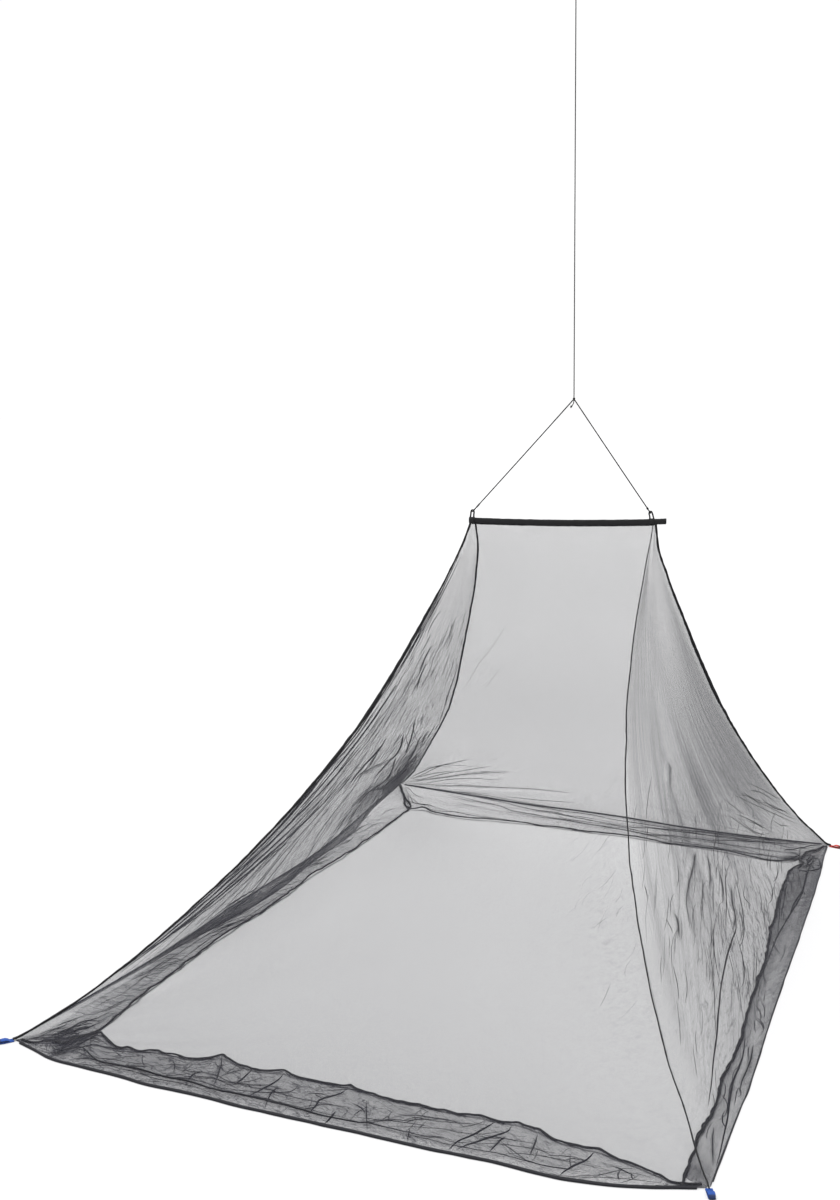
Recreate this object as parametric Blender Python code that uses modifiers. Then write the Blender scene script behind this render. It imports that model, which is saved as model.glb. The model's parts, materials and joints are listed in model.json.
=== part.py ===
"""Mosquito net canopy with a spreader bar.

A pyramid net for a double bed or mat: four netting walls meet in four hip
seams, hang from a cloth covered spreader bar and stand out to four webbing
loops at the corners of the floor.  Each wall turns under at the floor into a
skirt that lies flat, pointing inwards.  The bar hangs from a two leg bridle
and one long cord.

Metres, +Z up, X along the front edge, Y towards the back, floor at z = 0,
origin on the floor under the middle of the net.
"""
import math

import bmesh
import bpy
from mathutils import Matrix, Vector

# --------------------------------------------------------------------------
# driving sizes
# --------------------------------------------------------------------------
NET_T = 0.0012            # netting sheet
FLOOR_LAYER_Z = NET_T / 2  # middle of the skirt that lies on the floor
UPPER_LAYER_Z = 0.0062    # middle of the net where it comes down on its skirt
FOLD_R = 0.0022           # turn of the fold at the outer edge
SEAM_GAP = 0.0060         # panel edge to the middle of the hip binding
TOP_SEAM_GAP = 0.27       # the same where a panel is narrow, share of its width
BINDING_R = 0.0020        # hip binding
CENTRE = Vector((0.0004, 0.0194, 0.0))   # sets the origin under the middle of the net
BINDING_SIDES = 0         # bevel resolution of the bindings
FOOT_FADE = 0.16          # height over which the foot line shapes the wall

BAR_LEFT = Vector((-0.0930, 0.0005, 1.1984))
BAR_RIGHT = Vector((0.4725, 0.0395, 1.2086))
BAR_SAG = 0.0050          # the loaded bar bows down between its two loops
ROD_R = 0.0040
ROD_END_IN = 0.0040       # the rod stops inside the sleeve
SLEEVE_HIGH = 0.0160
SLEEVE_DEEP = 0.0120
SLEEVE_WALL = 0.0014
PANEL_UNDER_SLEEVE = 0.0016

CORD_D = 0.0026
CORD_GAP = 0.0004
APEX = Vector((0.2092, 0.0215, 1.5460))
APEX_KNOT_R = 0.0038
CORD_TOP = Vector((0.2033, 0.0212, 2.6560))
TOP_KNOT_LONG = 0.0130
TOP_KNOT_R = 0.0038
TOP_LOOP_HIGH = 0.0520
TOP_LOOP_WIDE = 0.0200
TAIL_KNOT = Vector((0.2015, 0.0210, 1.5250))
TAIL_KNOT_R = 0.0030

WEB_W = 0.0150            # corner webbing width
WEB_T = 0.0013
LOOP_LONG = 0.0380        # from the sewn end to the tip
LOOP_SEWN = 0.0090        # stitched flat part
LOOP_EYE = 0.0058         # height of the eye

# hip seams, from the bar down to the corner loops: height, x, y
HIPS = {
    "front_left": (
        (1.190, -0.0920, -0.0030), (1.140, -0.1050, -0.0220), (1.050, -0.1350, -0.0670),
        (0.930, -0.1800, -0.1400), (0.790, -0.2350, -0.2300), (0.640, -0.3010, -0.3420),
        (0.490, -0.3850, -0.4850), (0.350, -0.4790, -0.6360), (0.230, -0.5750, -0.7940),
        (0.130, -0.6650, -0.9400), (0.060, -0.7430, -1.0650), (0.020, -0.8000, -1.1600),
        (0.006, -0.8257, -1.2018)),
    "front_right": (
        (1.196, 0.4380, 0.0310), (1.140, 0.4360, 0.0000), (1.050, 0.4340, -0.0560),
        (0.930, 0.4350, -0.1400), (0.790, 0.4460, -0.2400), (0.640, 0.4730, -0.3610),
        (0.490, 0.5170, -0.5040), (0.350, 0.5800, -0.6560), (0.230, 0.6560, -0.8110),
        (0.130, 0.7320, -0.9530), (0.060, 0.8030, -1.0670), (0.020, 0.8500, -1.1550),
        (0.006, 0.8717, -1.1930)),
    "back_right": (
        (1.196, 0.4430, 0.0450), (1.140, 0.4470, 0.0570), (1.050, 0.4650, 0.1010),
        (0.930, 0.4910, 0.1790), (0.790, 0.5250, 0.2700), (0.640, 0.5660, 0.3760),
        (0.490, 0.6140, 0.5060), (0.350, 0.6660, 0.6400), (0.230, 0.7150, 0.7700),
        (0.130, 0.7590, 0.8910), (0.060, 0.7940, 0.9890), (0.020, 0.8140, 1.0410),
        (0.006, 0.8220, 1.0619)),
    "back_left": (
        (1.190, -0.0800, 0.0060), (1.140, -0.0840, 0.0300), (1.050, -0.1070, 0.0860),
        (0.930, -0.1540, 0.1700), (0.790, -0.2160, 0.2690), (0.640, -0.2900, 0.3890),
        (0.490, -0.3820, 0.5310), (0.350, -0.4980, 0.6820), (0.230, -0.6050, 0.8310),
        (0.130, -0.7010, 0.9700), (0.060, -0.7840, 1.0810), (0.020, -0.8380, 1.1650),
        (0.006, -0.8629, 1.2018)),
}

# one row for each column of netting, from the start corner to the end corner:
#   share of the edge, then how far out (+) or in (-) of the straight line
#   between the two corners lie
#   outer  the fold at the outer edge
#   foot   where the wall comes down on the skirt
#   inner  the free edge of the skirt (the mitre first and last, the hem between)
FRONT_EDGE = (
    (0.000, 0.006, -0.001, -0.004), (0.040, 0.028, 0.004, 0.003), (0.078, 0.050, 0.010, 0.006),
    (0.106, 0.058, 0.013, -0.098), (0.158, 0.060, 0.019, -0.066), (0.205, 0.065, 0.025, -0.080),
    (0.260, 0.073, 0.031, -0.084), (0.305, 0.071, 0.034, -0.110), (0.360, 0.075, 0.038, -0.091),
    (0.406, 0.080, 0.040, -0.101), (0.507, 0.080, 0.045, -0.097), (0.593, 0.081, 0.054, -0.085),
    (0.665, 0.083, 0.061, -0.087), (0.745, 0.080, 0.056, -0.090), (0.822, 0.086, 0.050, -0.055),
    (0.872, 0.078, 0.040, -0.046), (0.937, 0.050, 0.022, -0.014), (0.970, 0.028, 0.010, 0.004),
    (1.000, 0.008, -0.001, -0.004))
RIGHT_EDGE = (
    (0.000, 0.006, -0.001, -0.005), (0.005, 0.006, -0.002, -0.050), (0.068, 0.008, -0.006, -0.052),
    (0.134, 0.011, -0.014, -0.043), (0.188, 0.015, -0.020, -0.048), (0.250, 0.014, -0.022, -0.044),
    (0.300, 0.013, -0.024, -0.041), (0.400, 0.011, -0.030, -0.053), (0.465, 0.011, -0.032, -0.052),
    (0.540, 0.012, -0.033, -0.058), (0.600, 0.013, -0.034, -0.069), (0.670, 0.013, -0.028, -0.076),
    (0.746, 0.013, -0.024, -0.084), (0.820, 0.011, -0.022, -0.087), (0.890, 0.009, -0.016, -0.092),
    (0.945, 0.004, -0.010, -0.043), (1.000, 0.002, -0.004, -0.006))
BACK_EDGE = (
    (0.000, 0.006, -0.001, -0.004), (0.052, 0.001, -0.008, -0.130), (0.118, -0.006, -0.017, -0.280),
    (0.145, -0.008, -0.020, -0.262), (0.185, -0.012, -0.024, -0.284), (0.253, -0.017, -0.028, -0.292),
    (0.329, -0.021, -0.032, -0.264), (0.400, -0.018, -0.030, -0.246), (0.473, -0.010, -0.024, -0.239),
    (0.550, -0.011, -0.024, -0.232), (0.620, -0.018, -0.030, -0.221), (0.700, -0.027, -0.038, -0.230),
    (0.780, -0.028, -0.038, -0.225), (0.851, -0.022, -0.034, -0.234), (0.905, -0.014, -0.028, -0.246),
    (0.955, -0.004, -0.014, -0.230), (0.982, 0.002, -0.005, -0.100), (1.000, 0.006, -0.001, -0.004))
LEFT_EDGE = (
    (0.000, 0.006, -0.001, -0.005), (0.010, 0.004, -0.004, -0.130), (0.063, -0.008, -0.022, -0.160),
    (0.121, -0.020, -0.036, -0.148), (0.190, -0.034, -0.054, -0.144), (0.267, -0.043, -0.070, -0.142),
    (0.331, -0.044, -0.092, -0.140), (0.401, -0.043, -0.112, -0.154), (0.473, -0.050, -0.118, -0.156),
    (0.540, -0.057, -0.106, -0.152), (0.610, -0.062, -0.098, -0.163), (0.690, -0.055, -0.100, -0.169),
    (0.766, -0.040, -0.072, -0.170), (0.830, -0.026, -0.042, -0.166), (0.878, -0.014, -0.028, -0.164),
    (0.940, -0.003, -0.012, -0.081), (1.000, 0.006, -0.001, -0.004))

# panel: start hip, end hip, edge table, how far the middle draws in
PANELS = {
    "front_panel": ("front_left", "front_right", FRONT_EDGE, 0.020),
    "right_panel": ("front_right", "back_right", RIGHT_EDGE, 0.030),
    "back_panel": ("back_right", "back_left", BACK_EDGE, 0.020),
    "left_panel": ("back_left", "front_left", LEFT_EDGE, 0.030),
}
# the back and left tables run the other way round the net than their hips
REVERSED = ("back_panel", "left_panel")

# main folds of each wall: share across at the foot and at the top, depth (+ out),
# half width as a share of the panel, height where it starts and where it ends
FOLDS = {
    "front_panel": (
        (0.12, 0.10, -0.006, 0.040, 0.02, 0.50), (0.30, 0.26, 0.005, 0.050, 0.02, 0.55),
        (0.70, 0.80, -0.006, 0.050, 0.02, 0.60), (0.88, 0.90, 0.006, 0.040, 0.02, 0.50)),
    "right_panel": (
        (0.10, 0.20, -0.010, 0.035, 0.02, 0.60), (0.24, 0.35, 0.008, 0.040, 0.02, 0.75),
        (0.42, 0.48, -0.010, 0.035, 0.02, 0.80), (0.58, 0.55, 0.009, 0.035, 0.02, 0.70),
        (0.72, 0.62, -0.008, 0.040, 0.02, 0.70), (0.86, 0.75, 0.008, 0.030, 0.02, 0.50)),
    "back_panel": (
        (0.12, 0.25, 0.008, 0.040, 0.02, 0.40), (0.24, 0.35, -0.006, 0.045, 0.02, 0.45),
        (0.80, 0.70, 0.006, 0.050, 0.02, 0.55)),
    "left_panel": (
        (0.10, 0.35, -0.012, 0.045, 0.02, 0.60), (0.22, 0.48, 0.011, 0.045, 0.02, 0.75),
        (0.36, 0.58, -0.012, 0.045, 0.02, 0.85), (0.52, 0.66, 0.011, 0.045, 0.02, 0.85),
        (0.68, 0.75, -0.010, 0.040, 0.02, 0.70), (0.84, 0.85, 0.008, 0.035, 0.02, 0.60)),
}

# heights of the rows of every wall between its sewn top and its foot
WALL_HEIGHTS = (1.140, 1.050, 0.930, 0.800, 0.670, 0.540, 0.420, 0.310, 0.215, 0.135,
                0.075, 0.038, 0.018)

# corner loops: corner, direction along the floor, sewn end from the corner
CORNER_LOOPS = (
    ("front_left", (-0.66, -0.75), 0.008), ("front_right", (0.38, -0.92), 0.009),
    ("back_right", (0.96, -0.28), 0.011), ("back_left", (-0.62, 0.78), 0.008))

# loops on the bar: name, place along the bar, outline in the bar's plane
# (along the bar, up from the top of the sleeve)
BAR_LOOPS = {
    "hang_loop_left": (-0.0890, ((-0.0085, 0.0), (0.0085, 0.0), (0.0085, 0.006),
                                 (0.0060, 0.0200), (0.0030, 0.0245), (-0.0005, 0.0240),
                                 (-0.0040, 0.0180), (-0.0085, 0.005))),
    "hang_loop_right": (0.4330, ((-0.0085, 0.0), (0.0085, 0.0), (0.0085, 0.005),
                                 (0.0040, 0.0170), (0.0010, 0.0215), (-0.0035, 0.0235),
                                 (-0.0070, 0.0200), (-0.0085, 0.006))),
}
BAR_LOOP_T = 0.0030
BAR_LOOP_EYE = {"hang_loop_left": (0.0022, 0.0165), "hang_loop_right": (-0.0030, 0.0155)}
BAR_LOOP_EYE_R = 0.0030
BRIDLE_KNOT = {"left": 0.0180, "right": 0.0080}   # length of each tied knot
BRIDLE_KNOT_R = {"left": 0.0026, "right": 0.0031}
EYE_LONG = {"left": 0.0150, "right": 0.0110}      # cord eye from the hole to its knot
EYE_WIDE = 0.0090

# colours
COLOURS = {
    "netting": (0.020, 0.020, 0.022), "binding": (0.010, 0.010, 0.011),
    "sleeve": (0.012, 0.012, 0.013), "rod": (0.045, 0.045, 0.048),
    "cord": (0.018, 0.018, 0.020), "blue": (0.020, 0.085, 0.330), "red": (0.500, 0.030, 0.020),
}

# --------------------------------------------------------------------------
# scene and helpers
# --------------------------------------------------------------------------
for old in list(bpy.data.objects):
    bpy.data.objects.remove(old, do_unlink=True)

canopy = bpy.data.collections.new("mosquito_net_canopy")
bpy.context.scene.collection.children.link(canopy)


def material(name, colour, roughness, metallic=0.0):
    m = bpy.data.materials.get(name)
    if m is None:
        m = bpy.data.materials.new(name)
        m.use_nodes = True
        b = m.node_tree.nodes["Principled BSDF"]
        b.inputs["Base Color"].default_value = (*colour, 1.0)
        b.inputs["Roughness"].default_value = roughness
        b.inputs["Metallic"].default_value = metallic
    return m


def add(name, mesh, mat):
    ob = bpy.data.objects.new(name, mesh)
    canopy.objects.link(ob)
    mesh.materials.clear()
    mesh.materials.append(mat)
    return ob


def solid_from_curve(name, curve, matrix, mat):
    """A filled curve made into one closed mesh."""
    tmp = bpy.data.objects.new(name + "_curve", curve)
    bpy.context.scene.collection.objects.link(tmp)
    tmp.matrix_world = matrix
    bpy.context.view_layer.update()
    dg = bpy.context.evaluated_depsgraph_get()
    mesh = bpy.data.meshes.new_from_object(tmp.evaluated_get(dg))
    bm = bmesh.new()
    bm.from_mesh(mesh)
    bmesh.ops.remove_doubles(bm, verts=bm.verts, dist=0.00001)
    bmesh.ops.recalc_face_normals(bm, faces=bm.faces)
    bm.to_mesh(mesh)
    bm.free()
    mesh.name = name
    ob = add(name, mesh, mat)
    ob.matrix_world = matrix
    bpy.data.objects.remove(tmp, do_unlink=True)
    return ob


def column(table, key):
    """Smooth value of every column of a table at a place in its first column."""
    rows = sorted(table)
    xs = [r[0] for r in rows]
    if key <= xs[0]:
        return rows[0][1:]
    if key >= xs[-1]:
        return rows[-1][1:]
    i = max(j for j in range(len(xs) - 1) if xs[j] <= key)
    h = xs[i + 1] - xs[i]
    t = (key - xs[i]) / h
    out = []
    for c in range(1, len(rows[0])):
        def slope(j):
            if j <= 0 or j >= len(xs) - 1:
                k = min(max(j, 0), len(xs) - 1)
                a, b = (k, k + 1) if k == 0 else (k - 1, k)
                return (rows[b][c] - rows[a][c]) / (xs[b] - xs[a])
            left = (rows[j][c] - rows[j - 1][c]) / (xs[j] - xs[j - 1])
            right = (rows[j + 1][c] - rows[j][c]) / (xs[j + 1] - xs[j])
            if left * right <= 0.0:
                return 0.0
            return 2.0 * left * right / (left + right)
        p0, p1 = rows[i][c], rows[i + 1][c]
        m0, m1 = slope(i) * h, slope(i + 1) * h
        out.append((2 * t ** 3 - 3 * t ** 2 + 1) * p0 + (t ** 3 - 2 * t ** 2 + t) * m0
                   + (-2 * t ** 3 + 3 * t ** 2) * p1 + (t ** 3 - t ** 2) * m1)
    return tuple(out)


def hip(name, z):
    x, y = column(HIPS[name], z)
    return Vector((x, y, z))


def corner(name):
    return hip(name, 0.0).xy.to_3d()


def bar_axis(x):
    """Middle of the bar at a place along X: straight, with its bow."""
    t = (x - BAR_LEFT.x) / (BAR_RIGHT.x - BAR_LEFT.x)
    p = BAR_LEFT.lerp(BAR_RIGHT, t)
    p.z -= BAR_SAG * 4.0 * t * (1.0 - t)
    return p


def smooth_route(points, count):
    """Evenly numbered points on one smooth curve through the given points."""
    pts = [Vector(p) for p in points]
    out = []
    for k in range(count):
        t = k / (count - 1) * (len(pts) - 1)
        i = min(int(t), len(pts) - 2)
        t -= i
        p1, p2 = pts[i], pts[i + 1]
        p0 = pts[i - 1] if i > 0 else p1 * 2 - p2
        p3 = pts[i + 2] if i + 2 < len(pts) else p2 * 2 - p1
        out.append(0.5 * ((2 * p1) + (p2 - p0) * t + (2 * p0 - 5 * p1 + 4 * p2 - p3) * t * t
                          + (3 * p1 - p0 - 3 * p2 + p3) * t ** 3))
    return out


def tube(name, points, radius, mat, sides=2, closed=False):
    cu = bpy.data.curves.new(name, "CURVE")
    cu.dimensions = "3D"
    cu.bevel_depth = radius
    cu.bevel_resolution = sides
    cu.use_fill_caps = not closed
    sp = cu.splines.new("POLY")
    sp.points.add(len(points) - 1)
    for q, p in zip(sp.points, points):
        q.co = (p.x, p.y, p.z, 1.0)
    sp.use_cyclic_u = closed
    return solid_from_curve(name, cu, Matrix.Identity(4), mat)


# --------------------------------------------------------------------------
# netting panels
# --------------------------------------------------------------------------
def panel_frame(name):
    """Start corner, unit vector along the edge, unit vector out of the net, length."""
    start, end = PANELS[name][:2]
    if name in REVERSED:
        start, end = end, start
    a, b = corner(start), corner(end)
    along = (b - a).normalized()
    out = Vector((along.y, -along.x, 0.0))
    if out.dot((a + b) / 2) < 0:
        out = -out
    return start, end, a, along, out, (b - a).length


def top_height(name, share):
    """Height of a panel's sewn top edge, just under the sleeve."""
    start, end = panel_frame(name)[:2]
    a, b = hip(start, 1.19), hip(end, 1.19)
    x = a.x + (b.x - a.x) * share
    return bar_axis(x).z - SLEEVE_HIGH / 2 - PANEL_UNDER_SLEEVE - NET_T / 2


def inset(width, share):
    """Share across a panel, kept off the hip bindings on both sides."""
    gap = min(SEAM_GAP, TOP_SEAM_GAP * width) / width
    return gap + share * (1.0 - 2.0 * gap)


def wall_point(name, share, z):
    """A point of the wall, z above the floor."""
    start, end, a, along, out, length = panel_frame(name)
    draw_in = PANELS[name][3]
    level = (z - UPPER_LAYER_Z) / (1.19 - UPPER_LAYER_Z)
    p, q = hip(start, z), hip(end, z)
    s = inset((q - p).length, share)
    point = p.lerp(q, s)
    foot = column(PANELS[name][2], share)[1]
    floor = a + along * (inset(length, share) * length) + out * foot
    straight = corner(start).lerp(corner(end), inset(length, share))
    shift = floor - straight
    weight = math.exp(-((z - UPPER_LAYER_Z) / FOOT_FADE) ** 1.2)
    point += Vector((shift.x, shift.y, 0.0)) * weight
    point -= out * draw_in * 4.0 * share * (1.0 - share) * max(0.0, math.sin(math.pi * level)) ** 0.8
    for foot_s, top_s, depth, half, low, high in FOLDS[name]:
        if z <= low or z >= high:
            continue
        v = (z - low) / (high - low)
        middle = foot_s + (top_s - foot_s) * v
        swell = math.sin(math.pi * v ** 0.7)
        point += out * depth * swell * math.exp(-((share - middle) / half) ** 2)
    point.z = z
    return point


def skirt_points(name, share):
    """From the foot out to the fold, round it, and back in to the free edge."""
    start, end, a, along, out, length = panel_frame(name)
    outer, foot, inner = column(PANELS[name][2], share)
    base = a + along * (inset(length, share) * length)
    pts = []
    top_z = FLOOR_LAYER_Z + 2 * FOLD_R
    reach = outer - FOLD_R
    pts.append(base + out * (foot + 0.5 * (reach - foot)) + Vector((0, 0, 0.5 * (UPPER_LAYER_Z + top_z))))
    for k in range(5):
        ang = math.pi * k / 4
        pts.append(base + out * (reach + FOLD_R * math.sin(ang))
                   + Vector((0, 0, FLOOR_LAYER_Z + FOLD_R + FOLD_R * math.cos(ang))))
    for k in (0.33, 0.67, 1.0):
        pts.append(base + out * (reach + (inner - reach) * k) + Vector((0, 0, FLOOR_LAYER_Z)))
    return pts


def netting_panel(name):
    shares = [r[0] for r in PANELS[name][2]]
    bm = bmesh.new()
    grid = []
    for share in shares:
        heights = (top_height(name, share), *WALL_HEIGHTS, UPPER_LAYER_Z)
        line = [wall_point(name, share, z) for z in heights] + skirt_points(name, share)
        grid.append([bm.verts.new(p) for p in line])
    for i in range(len(grid) - 1):
        for j in range(len(grid[0]) - 1):
            bm.faces.new((grid[i][j], grid[i + 1][j], grid[i + 1][j + 1], grid[i][j + 1]))
    bmesh.ops.recalc_face_normals(bm, faces=bm.faces)
    mesh = bpy.data.meshes.new(name)
    bm.to_mesh(mesh)
    bm.free()
    ob = add(name, mesh, material("netting", COLOURS["netting"], 0.85))
    thick = ob.modifiers.new("thickness", "SOLIDIFY")
    thick.thickness = NET_T
    thick.offset = 0.0
    thick.use_even_offset = False
    return ob


for panel in PANELS:
    netting_panel(panel)

# --------------------------------------------------------------------------
# hip bindings
# --------------------------------------------------------------------------
BINDING_TOP = 1.178
binding = material("binding", COLOURS["binding"], 0.8)
for name, direction, start in CORNER_LOOPS:
    pts = [hip(name, z) for z in (BINDING_TOP, *WALL_HEIGHTS)]
    d = Vector((*direction, 0.0)).normalized()
    foot = corner(name)
    pts.append(foot + Vector((0, 0, 0.0085)) - d * 0.004)
    pts.append(foot + Vector((0, 0, 0.0065)) + d * (start - 0.0035))
    pts.append(foot + Vector((0, 0, 0.0062)) + d * (start - 0.0006))
    tube("hip_binding_" + name, pts, BINDING_R, binding, BINDING_SIDES)


# --------------------------------------------------------------------------
# corner loops: folded webbing, sewn flat at the net and open towards the tip
# --------------------------------------------------------------------------
def loop_outline():
    """Side view of a loop: outer outline and eye, along and up."""
    high = 2 * WEB_T + LOOP_EYE
    r = high / 2
    outer = [(0.0, 0.0)]
    for k in range(9):
        ang = -math.pi / 2 + math.pi * k / 8
        outer.append((LOOP_LONG - r + r * math.cos(ang), r + r * math.sin(ang)))
    outer += [(LOOP_SEWN + 0.0070, high), (LOOP_SEWN + 0.0020, high * 0.93), (0.0030, high * 0.93),
              (0.0, high * 0.93)]
    ri = LOOP_EYE / 2
    eye = [(LOOP_SEWN, WEB_T + 0.0012)]
    eye.append((LOOP_SEWN + 0.0020, WEB_T))
    for k in range(9):
        ang = -math.pi / 2 + math.pi * k / 8
        eye.append((LOOP_LONG - r + ri * math.cos(ang), r + ri * math.sin(ang)))
    eye += [(LOOP_SEWN + 0.0060, high - WEB_T), (LOOP_SEWN, high - WEB_T - 0.0020)]
    return outer, eye


for name, direction, start in CORNER_LOOPS:
    cu = bpy.data.curves.new("corner_loop_" + name, "CURVE")
    cu.dimensions = "2D"
    cu.fill_mode = "BOTH"
    cu.extrude = WEB_W / 2
    for ring in loop_outline():
        sp = cu.splines.new("POLY")
        sp.points.add(len(ring) - 1)
        for q, (s, z) in zip(sp.points, ring):
            q.co = (s, z, 0.0, 1.0)
        sp.use_cyclic_u = True
    d = Vector((*direction, 0.0)).normalized()
    side = d.cross(Vector((0, 0, 1)))
    turn = Matrix((d, Vector((0, 0, 1)), side)).transposed().to_4x4()
    place = Matrix.Translation(corner(name) + d * start)
    colour = "blue" if name.startswith("front") else "red"
    solid_from_curve("corner_loop_" + name, cu, place @ turn,
                     material("webbing_" + colour, COLOURS[colour], 0.75))


# --------------------------------------------------------------------------
# spreader bar, its sleeve and the two loops on it
# --------------------------------------------------------------------------
BAR_X = [BAR_LEFT.x + (BAR_RIGHT.x - BAR_LEFT.x) * k / 12 for k in range(13)]


def bar_section(profile_outer, profile_inner):
    """A tube of a given section along the bowed bar, open at both ends."""
    bm = bmesh.new()
    rings = []
    for x in BAR_X:
        c = bar_axis(x)
        ring = []
        for profile in (profile_outer, profile_inner):
            ring.append([bm.verts.new((c.x, c.y + y, c.z + z)) for y, z in profile])
        rings.append(ring)
    n = len(profile_outer)
    for i in range(len(rings) - 1):
        for k in range(n):
            m = (k + 1) % n
            a, b = rings[i][0], rings[i + 1][0]
            bm.faces.new((a[k], a[m], b[m], b[k]))
            a, b = rings[i][1], rings[i + 1][1]
            bm.faces.new((a[k], b[k], b[m], a[m]))
    for ring in (rings[0], rings[-1]):
        for k in range(n):
            m = (k + 1) % n
            bm.faces.new((ring[0][k], ring[1][k], ring[1][m], ring[0][m]))
    bmesh.ops.recalc_face_normals(bm, faces=bm.faces)
    return bm


def flat_oval(high, deep, count=12):
    pts = []
    for k in range(count):
        ang = 2 * math.pi * (k + 0.5) / count
        c, s = math.cos(ang), math.sin(ang)
        p = 0.55
        pts.append((deep / 2 * math.copysign(abs(c) ** p, c), high / 2 * math.copysign(abs(s) ** p, s)))
    return pts


bm = bar_section(flat_oval(SLEEVE_HIGH, SLEEVE_DEEP),
                 flat_oval(SLEEVE_HIGH - 2 * SLEEVE_WALL, SLEEVE_DEEP - 2 * SLEEVE_WALL))
mesh = bpy.data.meshes.new("bar_sleeve")
bm.to_mesh(mesh)
bm.free()
add("bar_sleeve", mesh, material("sleeve", COLOURS["sleeve"], 0.85))

rod_x = [BAR_LEFT.x + ROD_END_IN + (BAR_RIGHT.x - BAR_LEFT.x - 2 * ROD_END_IN) * k / 12
         for k in range(13)]
tube("spreader_bar", [bar_axis(x) for x in rod_x], ROD_R,
     material("rod", COLOURS["rod"], 0.5, 0.0), 2)

bar_dir = (BAR_RIGHT - BAR_LEFT).normalized()
bar_side = Vector((bar_dir.y, -bar_dir.x, 0.0)).normalized()
bar_up = bar_side.cross(bar_dir).normalized()
if bar_up.z < 0:
    bar_up = -bar_up


def bar_loop_frame(name):
    x = BAR_LOOPS[name][0]
    foot = bar_axis(x) + bar_up * (SLEEVE_HIGH / 2 + 0.0005)
    turn = Matrix((bar_dir, bar_up, bar_dir.cross(bar_up))).transposed().to_4x4()
    return Matrix.Translation(foot) @ turn


for name, (x, outline) in BAR_LOOPS.items():
    cu = bpy.data.curves.new(name, "CURVE")
    cu.dimensions = "2D"
    cu.fill_mode = "BOTH"
    cu.extrude = BAR_LOOP_T / 2
    ex, ez = BAR_LOOP_EYE[name]
    eye = [(ex + BAR_LOOP_EYE_R * math.cos(2 * math.pi * k / 12),
            ez + BAR_LOOP_EYE_R * math.sin(2 * math.pi * k / 12)) for k in range(12)]
    for ring in (outline, eye):
        sp = cu.splines.new("POLY")
        sp.points.add(len(ring) - 1)
        for q, (s, z) in zip(sp.points, ring):
            q.co = (s, z, 0.0, 1.0)
        sp.use_cyclic_u = True
    solid_from_curve(name, cu, bar_loop_frame(name), binding)

# --------------------------------------------------------------------------
# bridle, apex knot, hanging cord and its top loop
# --------------------------------------------------------------------------
cord = material("cord", COLOURS["cord"], 0.7)


def cord_tube(name, a, b, count, middle=()):
    return tube(name, smooth_route([a, *middle, b], count), CORD_D / 2, cord, 2)


def barrel(name, a, b, radius):
    """A tied knot: a short turned barrel from a to b."""
    axis = b - a
    length = axis.length
    rows = 7
    bm = bmesh.new()
    prev = None
    edges = []
    for k in range(rows + 1):
        t = k / rows
        r = radius * max(0.0, math.sin(math.pi * t)) ** 0.45
        v = bm.verts.new((r, 0.0, length * (1.0 - t)))
        if prev is not None:
            edges.append(bm.edges.new((prev, v)))
        prev = v
    mesh = bpy.data.meshes.new(name)
    bm.to_mesh(mesh)
    bm.free()
    ob = add(name, mesh, cord)
    sc = ob.modifiers.new("turn", "SCREW")
    sc.axis = "Z"
    sc.angle = 2 * math.pi
    sc.steps = 10
    sc.render_steps = 10
    sc.screw_offset = 0.0
    sc.use_merge_vertices = True
    sc.merge_threshold = 0.00002
    sc.use_smooth_shade = True
    ob.rotation_mode = "QUATERNION"
    ob.rotation_quaternion = axis.to_track_quat("Z", "Y")
    ob.location = a
    return ob


def ring_points(a, b, side, wide, count=28):
    """A closed cord eye: a long loop from a to b, wide in the direction side."""
    mid = (a + b) / 2
    half = (b - a) / 2
    pts = []
    for k in range(count):
        ang = 2 * math.pi * k / count
        pts.append(mid + half * math.cos(ang) + side * (wide / 2 * math.sin(ang)))
    return pts


for hand in ("left", "right"):
    frame = bar_loop_frame("hang_loop_" + hand)
    ex, ez = BAR_LOOP_EYE["hang_loop_" + hand]
    hole = frame @ Vector((ex, ez, 0.0))
    side = (frame.to_3x3() @ Vector((0, 0, 1))).normalized()
    pull = (APEX - hole).normalized()
    # the eye hangs in the upper side of the hole
    near = hole - pull * 0.0004
    far = near + pull * EYE_LONG[hand]
    tube("cord_eye_" + hand, ring_points(near, far, side, EYE_WIDE), CORD_D / 2, cord, 1, closed=True)
    knot_a = far + pull * (CORD_D / 2 + CORD_GAP)
    knot_b = knot_a + pull * BRIDLE_KNOT[hand]
    barrel("bridle_knot_" + hand, knot_a, knot_b, BRIDLE_KNOT_R[hand])
    cord_tube("bridle_cord_" + hand, knot_b + pull * CORD_GAP,
              APEX - pull * (APEX_KNOT_R + CORD_GAP), 40)

barrel("apex_knot", APEX - Vector((0, 0, APEX_KNOT_R)), APEX + Vector((0, 0, APEX_KNOT_R)),
       APEX_KNOT_R)
up = (CORD_TOP - APEX).normalized()
cord_tube("hanging_cord", APEX + up * (APEX_KNOT_R + CORD_GAP), CORD_TOP, 60)
knot_a = CORD_TOP + up * CORD_GAP
knot_b = knot_a + up * TOP_KNOT_LONG
barrel("top_knot", knot_a, knot_b, TOP_KNOT_R)
loop_a = knot_b + up * (CORD_GAP + CORD_D / 2)
loop_b = loop_a + up * TOP_LOOP_HIGH
tube("top_loop", ring_points(loop_a, loop_b, Vector((1, 0, 0)), TOP_LOOP_WIDE), CORD_D / 2, cord, 1,
     closed=True)

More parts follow.
